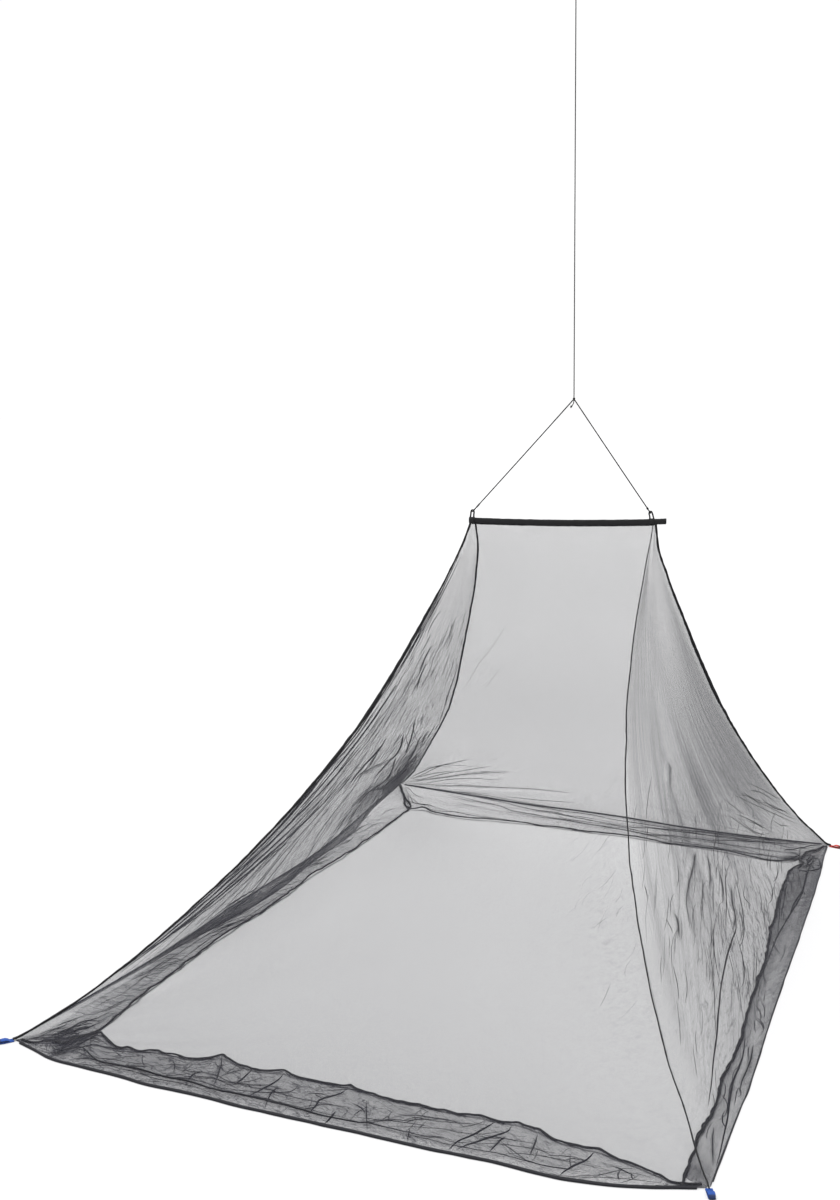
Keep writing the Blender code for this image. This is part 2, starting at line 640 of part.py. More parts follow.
tail_dir = Vector((0.06, -0.53, -0.84)).normalized()
tail_a = APEX + tail_dir * (APEX_KNOT_R + CORD_GAP + 0.0002)
tail_end = TAIL_KNOT - (TAIL_KNOT - APEX).normalized() * (TAIL_KNOT_R + CORD_GAP)
cord_tube("cord_tail", tail_a, tail_end, 9, middle=(Vector((0.2100, 0.0160, 1.5360)),))
barrel("tail_knot", TAIL_KNOT - Vector((0, 0, TAIL_KNOT_R)), TAIL_KNOT + Vector((0, 0, TAIL_KNOT_R)),
       TAIL_KNOT_R)

middle = bpy.data.objects.new("canopy_middle", None)
canopy.objects.link(middle)
middle.location = CENTRE
for ob in canopy.objects:
    if ob != middle:
        ob.parent = middle

for ob in canopy.objects:
    if ob.type == "MESH" and not ob.name.startswith(("front_panel", "right_panel", "back_panel", "left_panel")):
        ob.data.shade_smooth()
        ob.data.set_sharp_from_angle(angle=math.radians(40))
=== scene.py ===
"""Looks of the mosquito net canopy: fine netting, hems, hip tapes, sleeve, webbing and cords."""

import json
import math

import bpy
import numpy as np
from mathutils import Matrix, Vector

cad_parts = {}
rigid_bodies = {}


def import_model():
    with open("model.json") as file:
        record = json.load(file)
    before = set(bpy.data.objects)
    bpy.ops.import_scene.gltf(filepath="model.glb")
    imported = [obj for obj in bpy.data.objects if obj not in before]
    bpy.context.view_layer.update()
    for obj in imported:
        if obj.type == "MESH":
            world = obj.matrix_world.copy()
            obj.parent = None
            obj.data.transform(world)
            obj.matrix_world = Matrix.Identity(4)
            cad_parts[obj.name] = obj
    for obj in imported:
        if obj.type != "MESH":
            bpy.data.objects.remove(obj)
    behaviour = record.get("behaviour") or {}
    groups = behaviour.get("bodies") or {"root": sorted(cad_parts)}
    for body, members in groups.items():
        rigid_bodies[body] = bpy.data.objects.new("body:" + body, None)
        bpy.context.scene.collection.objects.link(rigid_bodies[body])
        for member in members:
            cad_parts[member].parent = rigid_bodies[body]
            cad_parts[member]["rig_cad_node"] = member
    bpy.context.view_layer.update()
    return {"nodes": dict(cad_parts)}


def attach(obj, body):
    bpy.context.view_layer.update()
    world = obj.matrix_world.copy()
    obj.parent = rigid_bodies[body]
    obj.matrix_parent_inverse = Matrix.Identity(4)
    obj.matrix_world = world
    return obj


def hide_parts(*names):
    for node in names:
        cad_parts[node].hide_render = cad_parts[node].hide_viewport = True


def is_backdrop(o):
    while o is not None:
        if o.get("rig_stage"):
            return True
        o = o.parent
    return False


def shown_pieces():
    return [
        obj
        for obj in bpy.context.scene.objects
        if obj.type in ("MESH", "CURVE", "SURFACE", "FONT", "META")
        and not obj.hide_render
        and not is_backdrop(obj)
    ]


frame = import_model()
nodes = frame["nodes"]
scene = bpy.context.scene

# --------------------------------------------------------------------------
# camera
# --------------------------------------------------------------------------
camera_data = bpy.data.cameras.new("camera")
camera_data.sensor_fit = "AUTO"
camera_data.sensor_width = 24.0
camera_data.lens = 28.023
camera_data.clip_start = 0.05
camera_data.clip_end = 200.0
camera = bpy.data.objects.new("camera", camera_data)
scene.collection.objects.link(camera)
CAMERA_AT = (1.3677, -3.7751, 1.5772)
CAMERA_RIGHT = (0.91988, 0.39214, -0.00626)
CAMERA_UP = (-0.05279, 0.13960, 0.98880)
CAMERA_BACK = (0.38863, -0.90925, 0.14912)
turn = Matrix((CAMERA_RIGHT, CAMERA_UP, CAMERA_BACK)).transposed().to_4x4()
camera.matrix_world = Matrix.Translation(CAMERA_AT) @ turn
scene.camera = camera

# --------------------------------------------------------------------------
# sizes shared with the CAD part, in metres
# --------------------------------------------------------------------------
CENTRE = np.array((0.0004, 0.0194, 0.0))
FLOOR_LAYER_Z = 0.0006
UPPER_LAYER_Z = 0.0062
FOLD_R = 0.0022
FOOT_FADE = 0.16
BAR_LEFT = np.array((-0.0930, 0.0005, 1.1984))
BAR_RIGHT = np.array((0.4725, 0.0395, 1.2086))
BAR_SAG = 0.0050
SLEEVE_HIGH = 0.0160
SLEEVE_DEEP = 0.0120
SLEEVE_WALL = 0.0014
SEAM_GAP = 0.0010          # here the panels meet under the tape
TOP_SEAM_GAP = 0.10
CORD_D = 0.0026
APEX = np.array((0.2092, 0.0215, 1.5460)) + CENTRE
CORD_TOP = np.array((0.2033, 0.0212, 2.6560)) + CENTRE
TAIL_KNOT = np.array((0.2015, 0.0210, 1.5250)) + CENTRE

# hip seams, from the bar down to the corner loops: height, x, y
HIPS = {
    "front_left": (
        (1.190, -0.0920, -0.0030), (1.140, -0.1050, -0.0220), (1.050, -0.1350, -0.0670),
        (0.930, -0.1800, -0.1400), (0.790, -0.2350, -0.2300), (0.640, -0.3010, -0.3420),
        (0.490, -0.3850, -0.4850), (0.350, -0.4790, -0.6360), (0.230, -0.5750, -0.7940),
        (0.130, -0.6650, -0.9400), (0.060, -0.7430, -1.0650), (0.020, -0.8000, -1.1600),
        (0.006, -0.8257, -1.2018)),
    "front_right": (
        (1.196, 0.4380, 0.0310), (1.140, 0.4360, 0.0000), (1.050, 0.4340, -0.0560),
        (0.930, 0.4350, -0.1400), (0.790, 0.4460, -0.2400), (0.640, 0.4730, -0.3610),
        (0.490, 0.5170, -0.5040), (0.350, 0.5800, -0.6560), (0.230, 0.6560, -0.8110),
        (0.130, 0.7320, -0.9530), (0.060, 0.8030, -1.0670), (0.020, 0.8500, -1.1550),
        (0.006, 0.8717, -1.1930)),
    "back_right": (
        (1.196, 0.4430, 0.0450), (1.140, 0.4470, 0.0570), (1.050, 0.4650, 0.1010),
        (0.930, 0.4910, 0.1790), (0.790, 0.5250, 0.2700), (0.640, 0.5660, 0.3760),
        (0.490, 0.6140, 0.5060), (0.350, 0.6660, 0.6400), (0.230, 0.7150, 0.7700),
        (0.130, 0.7590, 0.8910), (0.060, 0.7940, 0.9890), (0.020, 0.8140, 1.0410),
        (0.006, 0.8220, 1.0619)),
    "back_left": (
        (1.190, -0.0800, 0.0060), (1.140, -0.0840, 0.0300), (1.050, -0.1070, 0.0860),
        (0.930, -0.1540, 0.1700), (0.790, -0.2160, 0.2690), (0.640, -0.2900, 0.3890),
        (0.490, -0.3820, 0.5310), (0.350, -0.4980, 0.6820), (0.230, -0.6050, 0.8310),
        (0.130, -0.7010, 0.9700), (0.060, -0.7840, 1.0810), (0.020, -0.8380, 1.1650),
        (0.006, -0.8629, 1.2018)),
}

# share of the edge, outer fold, foot of the wall, free edge of the skirt
FRONT_EDGE = (
    (0.000, 0.006, -0.001, -0.004), (0.040, 0.028, 0.004, 0.003), (0.078, 0.050, 0.010, 0.006),
    (0.106, 0.058, 0.013, -0.098), (0.158, 0.060, 0.019, -0.066), (0.205, 0.065, 0.025, -0.080),
    (0.260, 0.073, 0.031, -0.084), (0.305, 0.071, 0.034, -0.110), (0.360, 0.075, 0.038, -0.091),
    (0.406, 0.080, 0.040, -0.101), (0.507, 0.080, 0.045, -0.097), (0.593, 0.081, 0.054, -0.085),
    (0.665, 0.083, 0.061, -0.087), (0.745, 0.080, 0.056, -0.090), (0.822, 0.086, 0.050, -0.055),
    (0.872, 0.078, 0.040, -0.046), (0.937, 0.050, 0.022, -0.014), (0.970, 0.028, 0.010, 0.004),
    (1.000, 0.008, -0.001, -0.004))
RIGHT_EDGE = (
    (0.000, 0.006, -0.001, -0.005), (0.005, 0.006, -0.002, -0.050), (0.068, 0.008, -0.006, -0.052),
    (0.134, 0.011, -0.014, -0.043), (0.188, 0.015, -0.020, -0.048), (0.250, 0.014, -0.022, -0.044),
    (0.300, 0.013, -0.024, -0.041), (0.400, 0.011, -0.030, -0.053), (0.465, 0.011, -0.032, -0.052),
    (0.540, 0.012, -0.033, -0.058), (0.600, 0.013, -0.034, -0.069), (0.670, 0.013, -0.028, -0.076),
    (0.746, 0.013, -0.024, -0.084), (0.820, 0.011, -0.022, -0.087), (0.890, 0.009, -0.016, -0.092),
    (0.945, 0.004, -0.010, -0.043), (1.000, 0.002, -0.004, -0.006))
BACK_EDGE = (
    (0.000, 0.006, -0.001, -0.004), (0.052, 0.001, -0.008, -0.130), (0.118, -0.006, -0.017, -0.280),
    (0.145, -0.008, -0.020, -0.262), (0.185, -0.012, -0.024, -0.284), (0.253, -0.017, -0.028, -0.292),
    (0.329, -0.021, -0.032, -0.264), (0.400, -0.018, -0.030, -0.246), (0.473, -0.010, -0.024, -0.239),
    (0.550, -0.011, -0.024, -0.232), (0.620, -0.018, -0.030, -0.221), (0.700, -0.027, -0.038, -0.230),
    (0.780, -0.028, -0.038, -0.225), (0.851, -0.022, -0.034, -0.234), (0.905, -0.014, -0.028, -0.246),
    (0.955, -0.004, -0.014, -0.230), (0.982, 0.002, -0.005, -0.100), (1.000, 0.006, -0.001, -0.004))
LEFT_EDGE = (
    (0.000, 0.006, -0.001, -0.005), (0.010, 0.004, -0.004, -0.130), (0.063, -0.008, -0.022, -0.160),
    (0.121, -0.020, -0.036, -0.148), (0.190, -0.034, -0.054, -0.144), (0.267, -0.043, -0.070, -0.142),
    (0.331, -0.044, -0.092, -0.140), (0.401, -0.043, -0.112, -0.154), (0.473, -0.050, -0.118, -0.156),
    (0.540, -0.057, -0.106, -0.152), (0.610, -0.062, -0.098, -0.163), (0.690, -0.055, -0.100, -0.169),
    (0.766, -0.040, -0.072, -0.170), (0.830, -0.026, -0.042, -0.166), (0.878, -0.014, -0.028, -0.164),
    (0.940, -0.003, -0.012, -0.081), (1.000, 0.006, -0.001, -0.004))

# panel: start hip, end hip, edge table, how far the middle draws in
PANELS = {
    "front_panel": ("front_left", "front_right", FRONT_EDGE, 0.020),
    "right_panel": ("front_right", "back_right", RIGHT_EDGE, 0.030),
    "back_panel": ("back_left", "back_right", BACK_EDGE, 0.020),
    "left_panel": ("front_left", "back_left", LEFT_EDGE, 0.030),
}
# share across at the foot and at the top, depth (+ out), half width, from height, to height
FOLDS = {
    "front_panel": (
        (0.12, 0.10, -0.006, 0.040, 0.02, 0.50), (0.30, 0.26, 0.005, 0.050, 0.02, 0.55),
        (0.70, 0.80, -0.006, 0.050, 0.02, 0.60), (0.88, 0.90, 0.006, 0.040, 0.02, 0.50)),
    "right_panel": (
        (0.10, 0.20, -0.010, 0.035, 0.02, 0.60), (0.24, 0.35, 0.008, 0.040, 0.02, 0.75),
        (0.42, 0.48, -0.010, 0.035, 0.02, 0.80), (0.58, 0.55, 0.009, 0.035, 0.02, 0.70),
        (0.72, 0.62, -0.008, 0.040, 0.02, 0.70), (0.86, 0.75, 0.008, 0.030, 0.02, 0.50)),
    "back_panel": (
        (0.12, 0.25, 0.008, 0.040, 0.02, 0.40), (0.24, 0.35, -0.006, 0.045, 0.02, 0.45),
        (0.80, 0.70, 0.006, 0.050, 0.02, 0.55)),
    "left_panel": (
        (0.10, 0.35, -0.012, 0.045, 0.02, 0.60), (0.22, 0.48, 0.011, 0.045, 0.02, 0.75),
        (0.36, 0.58, -0.012, 0.045, 0.02, 0.85), (0.52, 0.66, 0.011, 0.045, 0.02, 0.85),
        (0.68, 0.75, -0.010, 0.040, 0.02, 0.70), (0.84, 0.85, 0.008, 0.035, 0.02, 0.60)),
}
# the broad folds are softer in the netting than in its plain solid
DRAW_IN = {"front_panel": 0.020, "right_panel": 0.030, "back_panel": 0.020, "left_panel": 0.006}
FOLD_SOFT = {"front_panel": 0.8, "right_panel": 0.45, "back_panel": 0.8, "left_panel": 0.25}
# corner: direction of its loop along the floor, sewn end from the corner
CORNER_LOOPS = {
    "front_left": ((-0.66, -0.75), 0.008), "front_right": ((0.38, -0.92), 0.009),
    "back_right": ((0.96, -0.28), 0.011), "back_left": ((-0.62, 0.78), 0.008)}


# --------------------------------------------------------------------------
# the panels' own surfaces, in arrays
# --------------------------------------------------------------------------
def columns(table, keys):
    """Smooth value of every column of a table at places in its first column."""
    rows = np.array(sorted(table), float)
    xs, ys = rows[:, 0], rows[:, 1:]
    h = np.diff(xs)
    slope = np.diff(ys, axis=0) / h[:, None]
    m = np.zeros_like(ys)
    m[0], m[-1] = slope[0], slope[-1]
    a, b = slope[:-1], slope[1:]
    total = np.where(np.abs(a + b) < 1e-12, 1.0, a + b)
    m[1:-1] = np.where(a * b > 0, 2 * a * b / total, 0.0)
    k = np.clip(np.asarray(keys, float), xs[0], xs[-1])
    i = np.clip(np.searchsorted(xs, k, side="right") - 1, 0, len(xs) - 2)
    t = ((k - xs[i]) / h[i])[..., None]
    hh = h[i][..., None]
    return ((2 * t ** 3 - 3 * t ** 2 + 1) * ys[i] + (t ** 3 - 2 * t ** 2 + t) * m[i] * hh
            + (-2 * t ** 3 + 3 * t ** 2) * ys[i + 1] + (t ** 3 - t ** 2) * m[i + 1] * hh)


def hip(name, z):
    z = np.asarray(z, float)
    return np.concatenate([columns(HIPS[name], z), z[..., None]], -1)


def corner(name):
    p = hip(name, 0.0).copy()
    p[2] = 0.0
    return p


def bar_axis(x):
    """Middle of the bar at a place along X, without the shift to the middle of the net."""
    x = np.asarray(x, float)
    t = (x - BAR_LEFT[0]) / (BAR_RIGHT[0] - BAR_LEFT[0])
    p = BAR_LEFT + (BAR_RIGHT - BAR_LEFT) * t[..., None]
    p[..., 2] -= BAR_SAG * 4 * t * (1 - t)
    return p


def panel_frame(name):
    start, end = PANELS[name][:2]
    a, b = corner(start), corner(end)
    length = np.linalg.norm(b - a)
    along = (b - a) / length
    out = np.array((along[1], -along[0], 0.0))
    if out @ ((a + b) / 2) < 0:
        out = -out
    return start, end, a, b, along, out, length


def inset(width, share):
    gap = np.minimum(SEAM_GAP, TOP_SEAM_GAP * width) / width
    return gap + share * (1 - 2 * gap)


def top_height(name, share):
    """The panel's top is sewn into the underside of the sleeve."""
    start, end = panel_frame(name)[:2]
    a, b = hip(start, 1.19), hip(end, 1.19)
    x = a[0] + (b[0] - a[0]) * np.asarray(share, float)
    return bar_axis(x)[..., 2] - SLEEVE_HIGH / 2 + 0.0012


def wall(name, share, z):
    share, z = np.broadcast_arrays(np.asarray(share, float), np.asarray(z, float))
    start, end, a, b, along, out, length = panel_frame(name)
    draw_in = DRAW_IN[name]
    level = (z - UPPER_LAYER_Z) / (1.19 - UPPER_LAYER_Z)
    p, q = hip(start, z), hip(end, z)
    s = inset(np.linalg.norm(q - p, axis=-1), share)
    point = p + (q - p) * s[..., None]
    foot = columns(PANELS[name][2], share)[..., 1]
    u = inset(length, share)
    floor = a + along * (u * length)[..., None] + out * foot[..., None]
    straight = a + (b - a) * u[..., None]
    weight = np.exp(-(np.maximum(z - UPPER_LAYER_Z, 0) / FOOT_FADE) ** 1.2)
    point = point + (floor - straight) * weight[..., None]
    swell = np.maximum(0.0, np.sin(math.pi * np.clip(level, 0, 1))) ** 0.8
    point = point - out * (draw_in * 4 * share * (1 - share) * swell)[..., None]
    for foot_s, top_s, depth, half, low, high in FOLDS[name]:
        depth = depth * FOLD_SOFT[name]
        v = np.clip((z - low) / (high - low), 0, 1)
        middle = foot_s + (top_s - foot_s) * v
        lift = depth * np.sin(math.pi * v ** 0.7) * np.exp(-((share - middle) / half) ** 2)
        point = point + out * lift[..., None]
    point[..., 2] = z
    return point + CENTRE


def smoothstep(t):
    t = np.clip(t, 0, 1)
    return t * t * (3 - 2 * t)


class Noise:
    """Smooth seeded noise from -1 to 1, by 2-D place."""

    def __init__(self, seed):
        self.grid = np.random.RandomState(seed).uniform(-1, 1, (256, 256))

    def __call__(self, u, v):
        u, v = np.broadcast_arrays(np.asarray(u, float), np.asarray(v, float))
        i, j = np.floor(u).astype(int), np.floor(v).astype(int)
        a, b = u - i, v - j
        a, b = a * a * (3 - 2 * a), b * b * (3 - 2 * b)
        g = self.grid
        i0, i1, j0, j1 = i % 256, (i + 1) % 256, j % 256, (j + 1) % 256
        return ((g[i0, j0] * (1 - a) + g[i1, j0] * a) * (1 - b)
                + (g[i0, j1] * (1 - a) + g[i1, j1] * a) * b)


def sharp(n, power=1.6):
    """Noise turned into narrow ridges and wide hollows, as creased netting has."""
    return np.sign(n) * np.abs(n) ** power


def polyline(points, step):
    """Points along a smooth curve through the given rows, of any number of columns, a fixed number to each span; step
    is not used.
    """
    p = np.array(points, float)
    if len(p) < 3:
        n = 24
        t = np.linspace(0, 1, n)[:, None]
        return p[0] + (p[-1] - p[0]) * t
    out = []
    for k in range(len(p) - 1):
        p1, p2 = p[k], p[k + 1]
        p0 = p[k - 1] if k else p1 * 2 - p2
        p3 = p[k + 2] if k + 2 < len(p) else p2 * 2 - p1
        for t in np.linspace(0, 1, 12, endpoint=k == len(p) - 2):
            out.append(0.5 * (2 * p1 + (p2 - p0) * t + (2 * p0 - 5 * p1 + 4 * p2 - p3) * t * t
                              + (3 * p1 - p0 - 3 * p2 + p3) * t ** 3))
    return np.array(out)


def line_distance(points, route):
    """Distance of every point to a route, and how far along it the nearest place is, 0 to 1."""
    flat = points.reshape(-1, 3)
    best = np.full(len(flat), 1e9)
    at = np.zeros(len(flat))
    low, high = route.min(0) - 0.05, route.max(0) + 0.05
    near = np.nonzero(((flat > low) & (flat < high)).all(1))[0]
    sub = flat[near]
    b2, a2 = np.full(len(sub), 1e9), np.zeros(len(sub))
    seg = np.linalg.norm(np.diff(route, axis=0), axis=1)
    total = np.concatenate([[0], np.cumsum(seg)])
    for k in range(len(route) - 1):
        d = route[k + 1] - route[k]
        t = np.clip((sub - route[k]) @ d / max(d @ d, 1e-12), 0, 1)
        dist = np.linalg.norm(sub - route[k] - t[:, None] * d, axis=1)
        m = dist < b2
        b2[m] = dist[m]
        a2[m] = (total[k] + t[m] * seg[k]) / total[-1]
    best[near], at[near] = b2, a2
    return best.reshape(points.shape[:-1]), at.reshape(points.shape[:-1])


# --------------------------------------------------------------------------
# folds and creases, placed one by one: share of the edge and height up the wall,
# or share of the edge and how far in across the skirt (0 outer fold, 1 free edge)
# --------------------------------------------------------------------------
# soft creases: half width, height (+ out), added density, then the places
WALL_CREASES = {
    "front_panel": (
        (0.010, 0.001, 0.05, ((0.33, 0.75), (0.35, 0.82), (0.375, 0.86), (0.41, 0.93))),
        (0.010, 0.001, 0.05, ((0.41, 0.74), (0.435, 0.79), (0.46, 0.83))),
    ),
    "right_panel": (
        (0.009, 0.005, 0.5, ((0.45, 0.314), (0.38, 0.30), (0.317, 0.28), (0.277, 0.262), (0.257, 0.212))),
        (0.009, 0.005, 0.5, ((0.485, 0.287), (0.451, 0.246), (0.427, 0.228))),
        (0.009, 0.005, 0.5, ((0.505, 0.234), (0.479, 0.206), (0.451, 0.178))),
        (0.010, 0.006, 0.8, ((0.525, 0.187), (0.487, 0.165), (0.471, 0.141), (0.439, 0.121))),
        (0.016, 0.006, 0.4, ((0.469, 0.54), (0.411, 0.499))),
        (0.014, 0.006, 0.5, ((0.218, 0.265), (0.19, 0.228))),
    ),
    "back_panel": (
        (0.012, 0.005, 0.4, ((0.032, 0.063), (0.11, 0.128), (0.146, 0.156), (0.222, 0.196))),
        (0.012, 0.005, 0.4, ((0.078, 0.033), (0.202, 0.089), (0.327, 0.12), (0.443, 0.131))),
    ),
    "left_panel": (
        (0.012, 0.006, 0.8, ((0.082, 0.568), (0.08, 0.523), (0.05, 0.456), (0.03, 0.40))),
        (0.012, 0.006, 0.9, ((0.653, 0.397), (0.595, 0.39), (0.443, 0.407), (0.427, 0.377))),
        (0.014, 0.010, 1.6, ((0.94, 0.302), (0.912, 0.238), (0.852, 0.206), (0.76, 0.22))),
    ),
}
# folds pressed over into a narrow pleat: width, layers' density, then the places
WALL_PLEATS = {
    "front_panel": (
        (0.0036, 3.6, ((0.004, 1.02), (0.007, 0.90), (0.009, 0.78), (0.010, 0.66), (0.009, 0.54), (0.006, 0.42))),
        (0.0024, 2.6, ((0.006, 0.62), (0.010, 0.50), (0.010, 0.40), (0.004, 0.28))),
        (0.0016, 0.55, ((0.33, 0.75), (0.35, 0.82), (0.375, 0.86), (0.41, 0.93))),
        (0.0016, 0.45, ((0.41, 0.74), (0.435, 0.79), (0.46, 0.83))),
    ),
    "right_panel": (
        (0.0074, 6.0, ((0.511, 0.158), (0.477, 0.138), (0.453, 0.118), (0.409, 0.113), (0.371, 0.111),
                       (0.313, 0.100), (0.279, 0.092), (0.236, 0.077), (0.198, 0.062), (0.156, 0.052),
                       (0.12, 0.043), (0.08, 0.036))),
        (0.0046, 5.2, ((0.495, 0.055), (0.469, 0.044), (0.415, 0.024))),
        (0.0036, 3.9, ((0.301, 0.138), (0.257, 0.105), (0.204, 0.069), (0.196, 0.060))),
        (0.0033, 3.3, ((0.45, 0.314), (0.381, 0.296), (0.317, 0.28), (0.277, 0.262), (0.257, 0.215))),
        (0.0033, 3.3, ((0.521, 0.387), (0.497, 0.363), (0.469, 0.332))),
        (0.0031, 2.7, ((0.309, 0.334), (0.287, 0.311), (0.265, 0.30))),
        (0.0036, 3.3, ((0.485, 0.285), (0.451, 0.248), (0.428, 0.231))),
        (0.0036, 3.6, ((0.505, 0.234), (0.479, 0.206), (0.452, 0.180))),
        (0.0041, 4.5, ((0.525, 0.187), (0.487, 0.165), (0.471, 0.141), (0.439, 0.121))),
        (0.0033, 3.0, ((0.621, 0.088), (0.581, 0.073), (0.557, 0.056))),
        (0.0031, 2.7, ((0.691, 0.088), (0.645, 0.078))),
        (0.0031, 2.7, ((0.184, 0.178), (0.17, 0.16), (0.142, 0.141))),
        (0.0031, 2.7, ((0.144, 0.204), (0.134, 0.176), (0.12, 0.156))),
        (0.0033, 3.0, ((0.11, 0.036), (0.108, 0.031), (0.10, 0.026))),
        (0.0029, 2.7, ((0.896, 0.356), (0.94, 0.314), (0.978, 0.263), (0.992, 0.24))),
        (0.0031, 3.0, ((0.782, 0.356), (0.842, 0.302), (0.896, 0.246), (0.946, 0.178), (0.972, 0.144))),
        (0.0029, 2.7, ((0.892, 0.287), (0.942, 0.236), (0.98, 0.176))),
        (0.0029, 2.4, ((0.84, 0.33), (0.90, 0.268), (0.95, 0.20), (0.985, 0.15))),
        (0.0029, 2.2, ((0.589, 0.162), (0.555, 0.146), (0.563, 0.115))),
        (0.0029, 2.1, ((0.084, 0.365), (0.094, 0.334))),
        (0.0029, 2.1, ((0.172, 0.274), (0.182, 0.242))),
        (0.0031, 2.4, ((0.375, 0.178), (0.319, 0.139), (0.275, 0.114))),
        (0.0029, 2.1, ((0.218, 0.265), (0.19, 0.228))),
    ),
    "back_panel": (
        (0.0026, 2.4, ((0.018, 0.093), (0.066, 0.193), (0.14, 0.261))),
        (0.0024, 2.2, ((0.026, 0.07), (0.102, 0.16), (0.218, 0.242))),
        (0.0026, 2.4, ((0.042, 0.046), (0.126, 0.123), (0.248, 0.167))),
        (0.0040, 5.0, ((0.004, 0.010), (0.086, 0.013), (0.168, 0.023), (0.271, 0.012), (0.42, 0.010))),
        (0.0034, 4.5, ((0.004, 0.030), (0.094, 0.012), (0.206, 0.034), (0.313, 0.022), (0.42, 0.012))),
        (0.0025, 2.4, ((0.006, 0.09), (0.04, 0.17), (0.104, 0.226))),
        (0.0025, 2.4, ((0.010, 0.08), (0.058, 0.138), (0.112, 0.178))),
        (0.0027, 2.7, ((0.012, 0.05), (0.11, 0.128), (0.146, 0.156), (0.222, 0.196))),
        (0.0025, 2.4, ((0.012, 0.03), (0.202, 0.089), (0.327, 0.12), (0.443, 0.131))),
        (0.0025, 2.0, ((0.271, 0.05), (0.367, 0.057), (0.453, 0.071))),
    ),
    "left_panel": (
        (0.0120, 6.0, ((0.975, 0.035), (0.986, 0.025), (0.998, 0.012))),
        (0.0026, 3.6, ((0.02, 0.10), (0.06, 0.22), (0.11, 0.34), (0.16, 0.46), (0.19, 0.56))),
        (0.0024, 3.4, ((0.03, 0.09), (0.10, 0.20), (0.17, 0.31), (0.22, 0.42))),
        (0.0024, 3.4, ((0.06, 0.13), (0.15, 0.22), (0.25, 0.33), (0.30, 0.42))),
        (0.0024, 3.0, ((0.09, 0.42), (0.12, 0.52), (0.14, 0.64), (0.15, 0.74))),
        (0.0055, 6.0, ((0.155, 0.42), (0.132, 0.385), (0.102, 0.32), (0.036, 0.272), (0.02, 0.202),
                       (0.014, 0.133), (0.004, 0.075))),
        (0.0050, 5.2, ((0.321, 0.259), (0.206, 0.259), (0.164, 0.196), (0.118, 0.156), (0.03, 0.121),
                       (0.006, 0.07))),
        (0.0055, 6.0, ((0.52, 0.095), (0.455, 0.099), (0.349, 0.108), (0.313, 0.07), (0.259, 0.055), (0.176, 0.03))),
        (0.0055, 6.0, ((0.519, 0.022), (0.427, 0.018), (0.345, 0.012), (0.299, 0.010), (0.20, 0.014))),
        (0.0026, 3.2, ((0.075, 1.12), (0.075, 1.0), (0.07, 0.9), (0.06, 0.8), (0.05, 0.7), (0.04, 0.6))),
        (0.0024, 2.6, ((0.17, 1.10), (0.14, 1.0), (0.11, 0.9), (0.085, 0.8), (0.065, 0.7))),
        (0.0024, 2.6, ((0.10, 0.66), (0.085, 0.54), (0.065, 0.42), (0.05, 0.34))),
        (0.0066, 5.5, ((0.926, 0.117), (0.868, 0.238), (0.87, 0.337), (0.83, 0.43))),
        (0.0055, 5.0, ((0.611, 0.33), (0.647, 0.377), (0.683, 0.415), (0.62, 0.50))),
        (0.0066, 5.5, ((0.595, 0.228), (0.623, 0.263), (0.703, 0.248), (0.80, 0.19), (0.88, 0.158), (0.96, 0.10))),
        (0.0055, 5.0, ((0.623, 0.224), (0.653, 0.261), (0.741, 0.282), (0.689, 0.387))),
        (0.0044, 4.0, ((0.78, 0.363), (0.727, 0.451), (0.675, 0.526))),
        (0.0044, 4.0, ((0.399, 0.39), (0.409, 0.435), (0.439, 0.477), (0.451, 0.515))),
        (0.0077, 6.0, ((0.661, 0.080), (0.573, 0.074), (0.459, 0.100), (0.379, 0.095))),
        (0.0111, 6.0, ((0.018, 0.86), (0.024, 0.76), (0.024, 0.65), (0.022, 0.52), (0.018, 0.40),
                       (0.010, 0.30))),
        (0.0037, 4.5, ((0.020, 1.14), (0.030, 1.02), (0.030, 0.92), (0.026, 0.82))),
        (0.0034, 3.6, ((0.06, 0.50), (0.055, 0.40), (0.04, 0.30), (0.02, 0.20))),
        (0.0032, 3.6, ((0.661, 0.551), (0.699, 0.496), (0.858, 0.387))),
        (0.0030, 3.0, ((0.635, 0.499), (0.71, 0.44), (0.80, 0.37))),
        (0.0032, 3.3, ((0.653, 0.397), (0.595, 0.39), (0.443, 0.407), (0.427, 0.377))),
        (0.0030, 3.0, ((0.443, 0.529), (0.455, 0.485), (0.461, 0.425))),
        (0.0030, 3.0, ((0.407, 0.827), (0.399, 0.785), (0.411, 0.74))),
        (0.0030, 3.0, ((0.451, 0.768), (0.459, 0.724), (0.491, 0.675))),
        (0.0050, 6.0, ((0.94, 0.302), (0.912, 0.238), (0.852, 0.206), (0.76, 0.22), (0.653, 0.282), (0.577, 0.276))),
        (0.0032, 3.6, ((0.975, 0.70), (0.965, 0.62), (0.960, 0.56), (0.965, 0.48), (0.985, 0.42))),
    ),
}
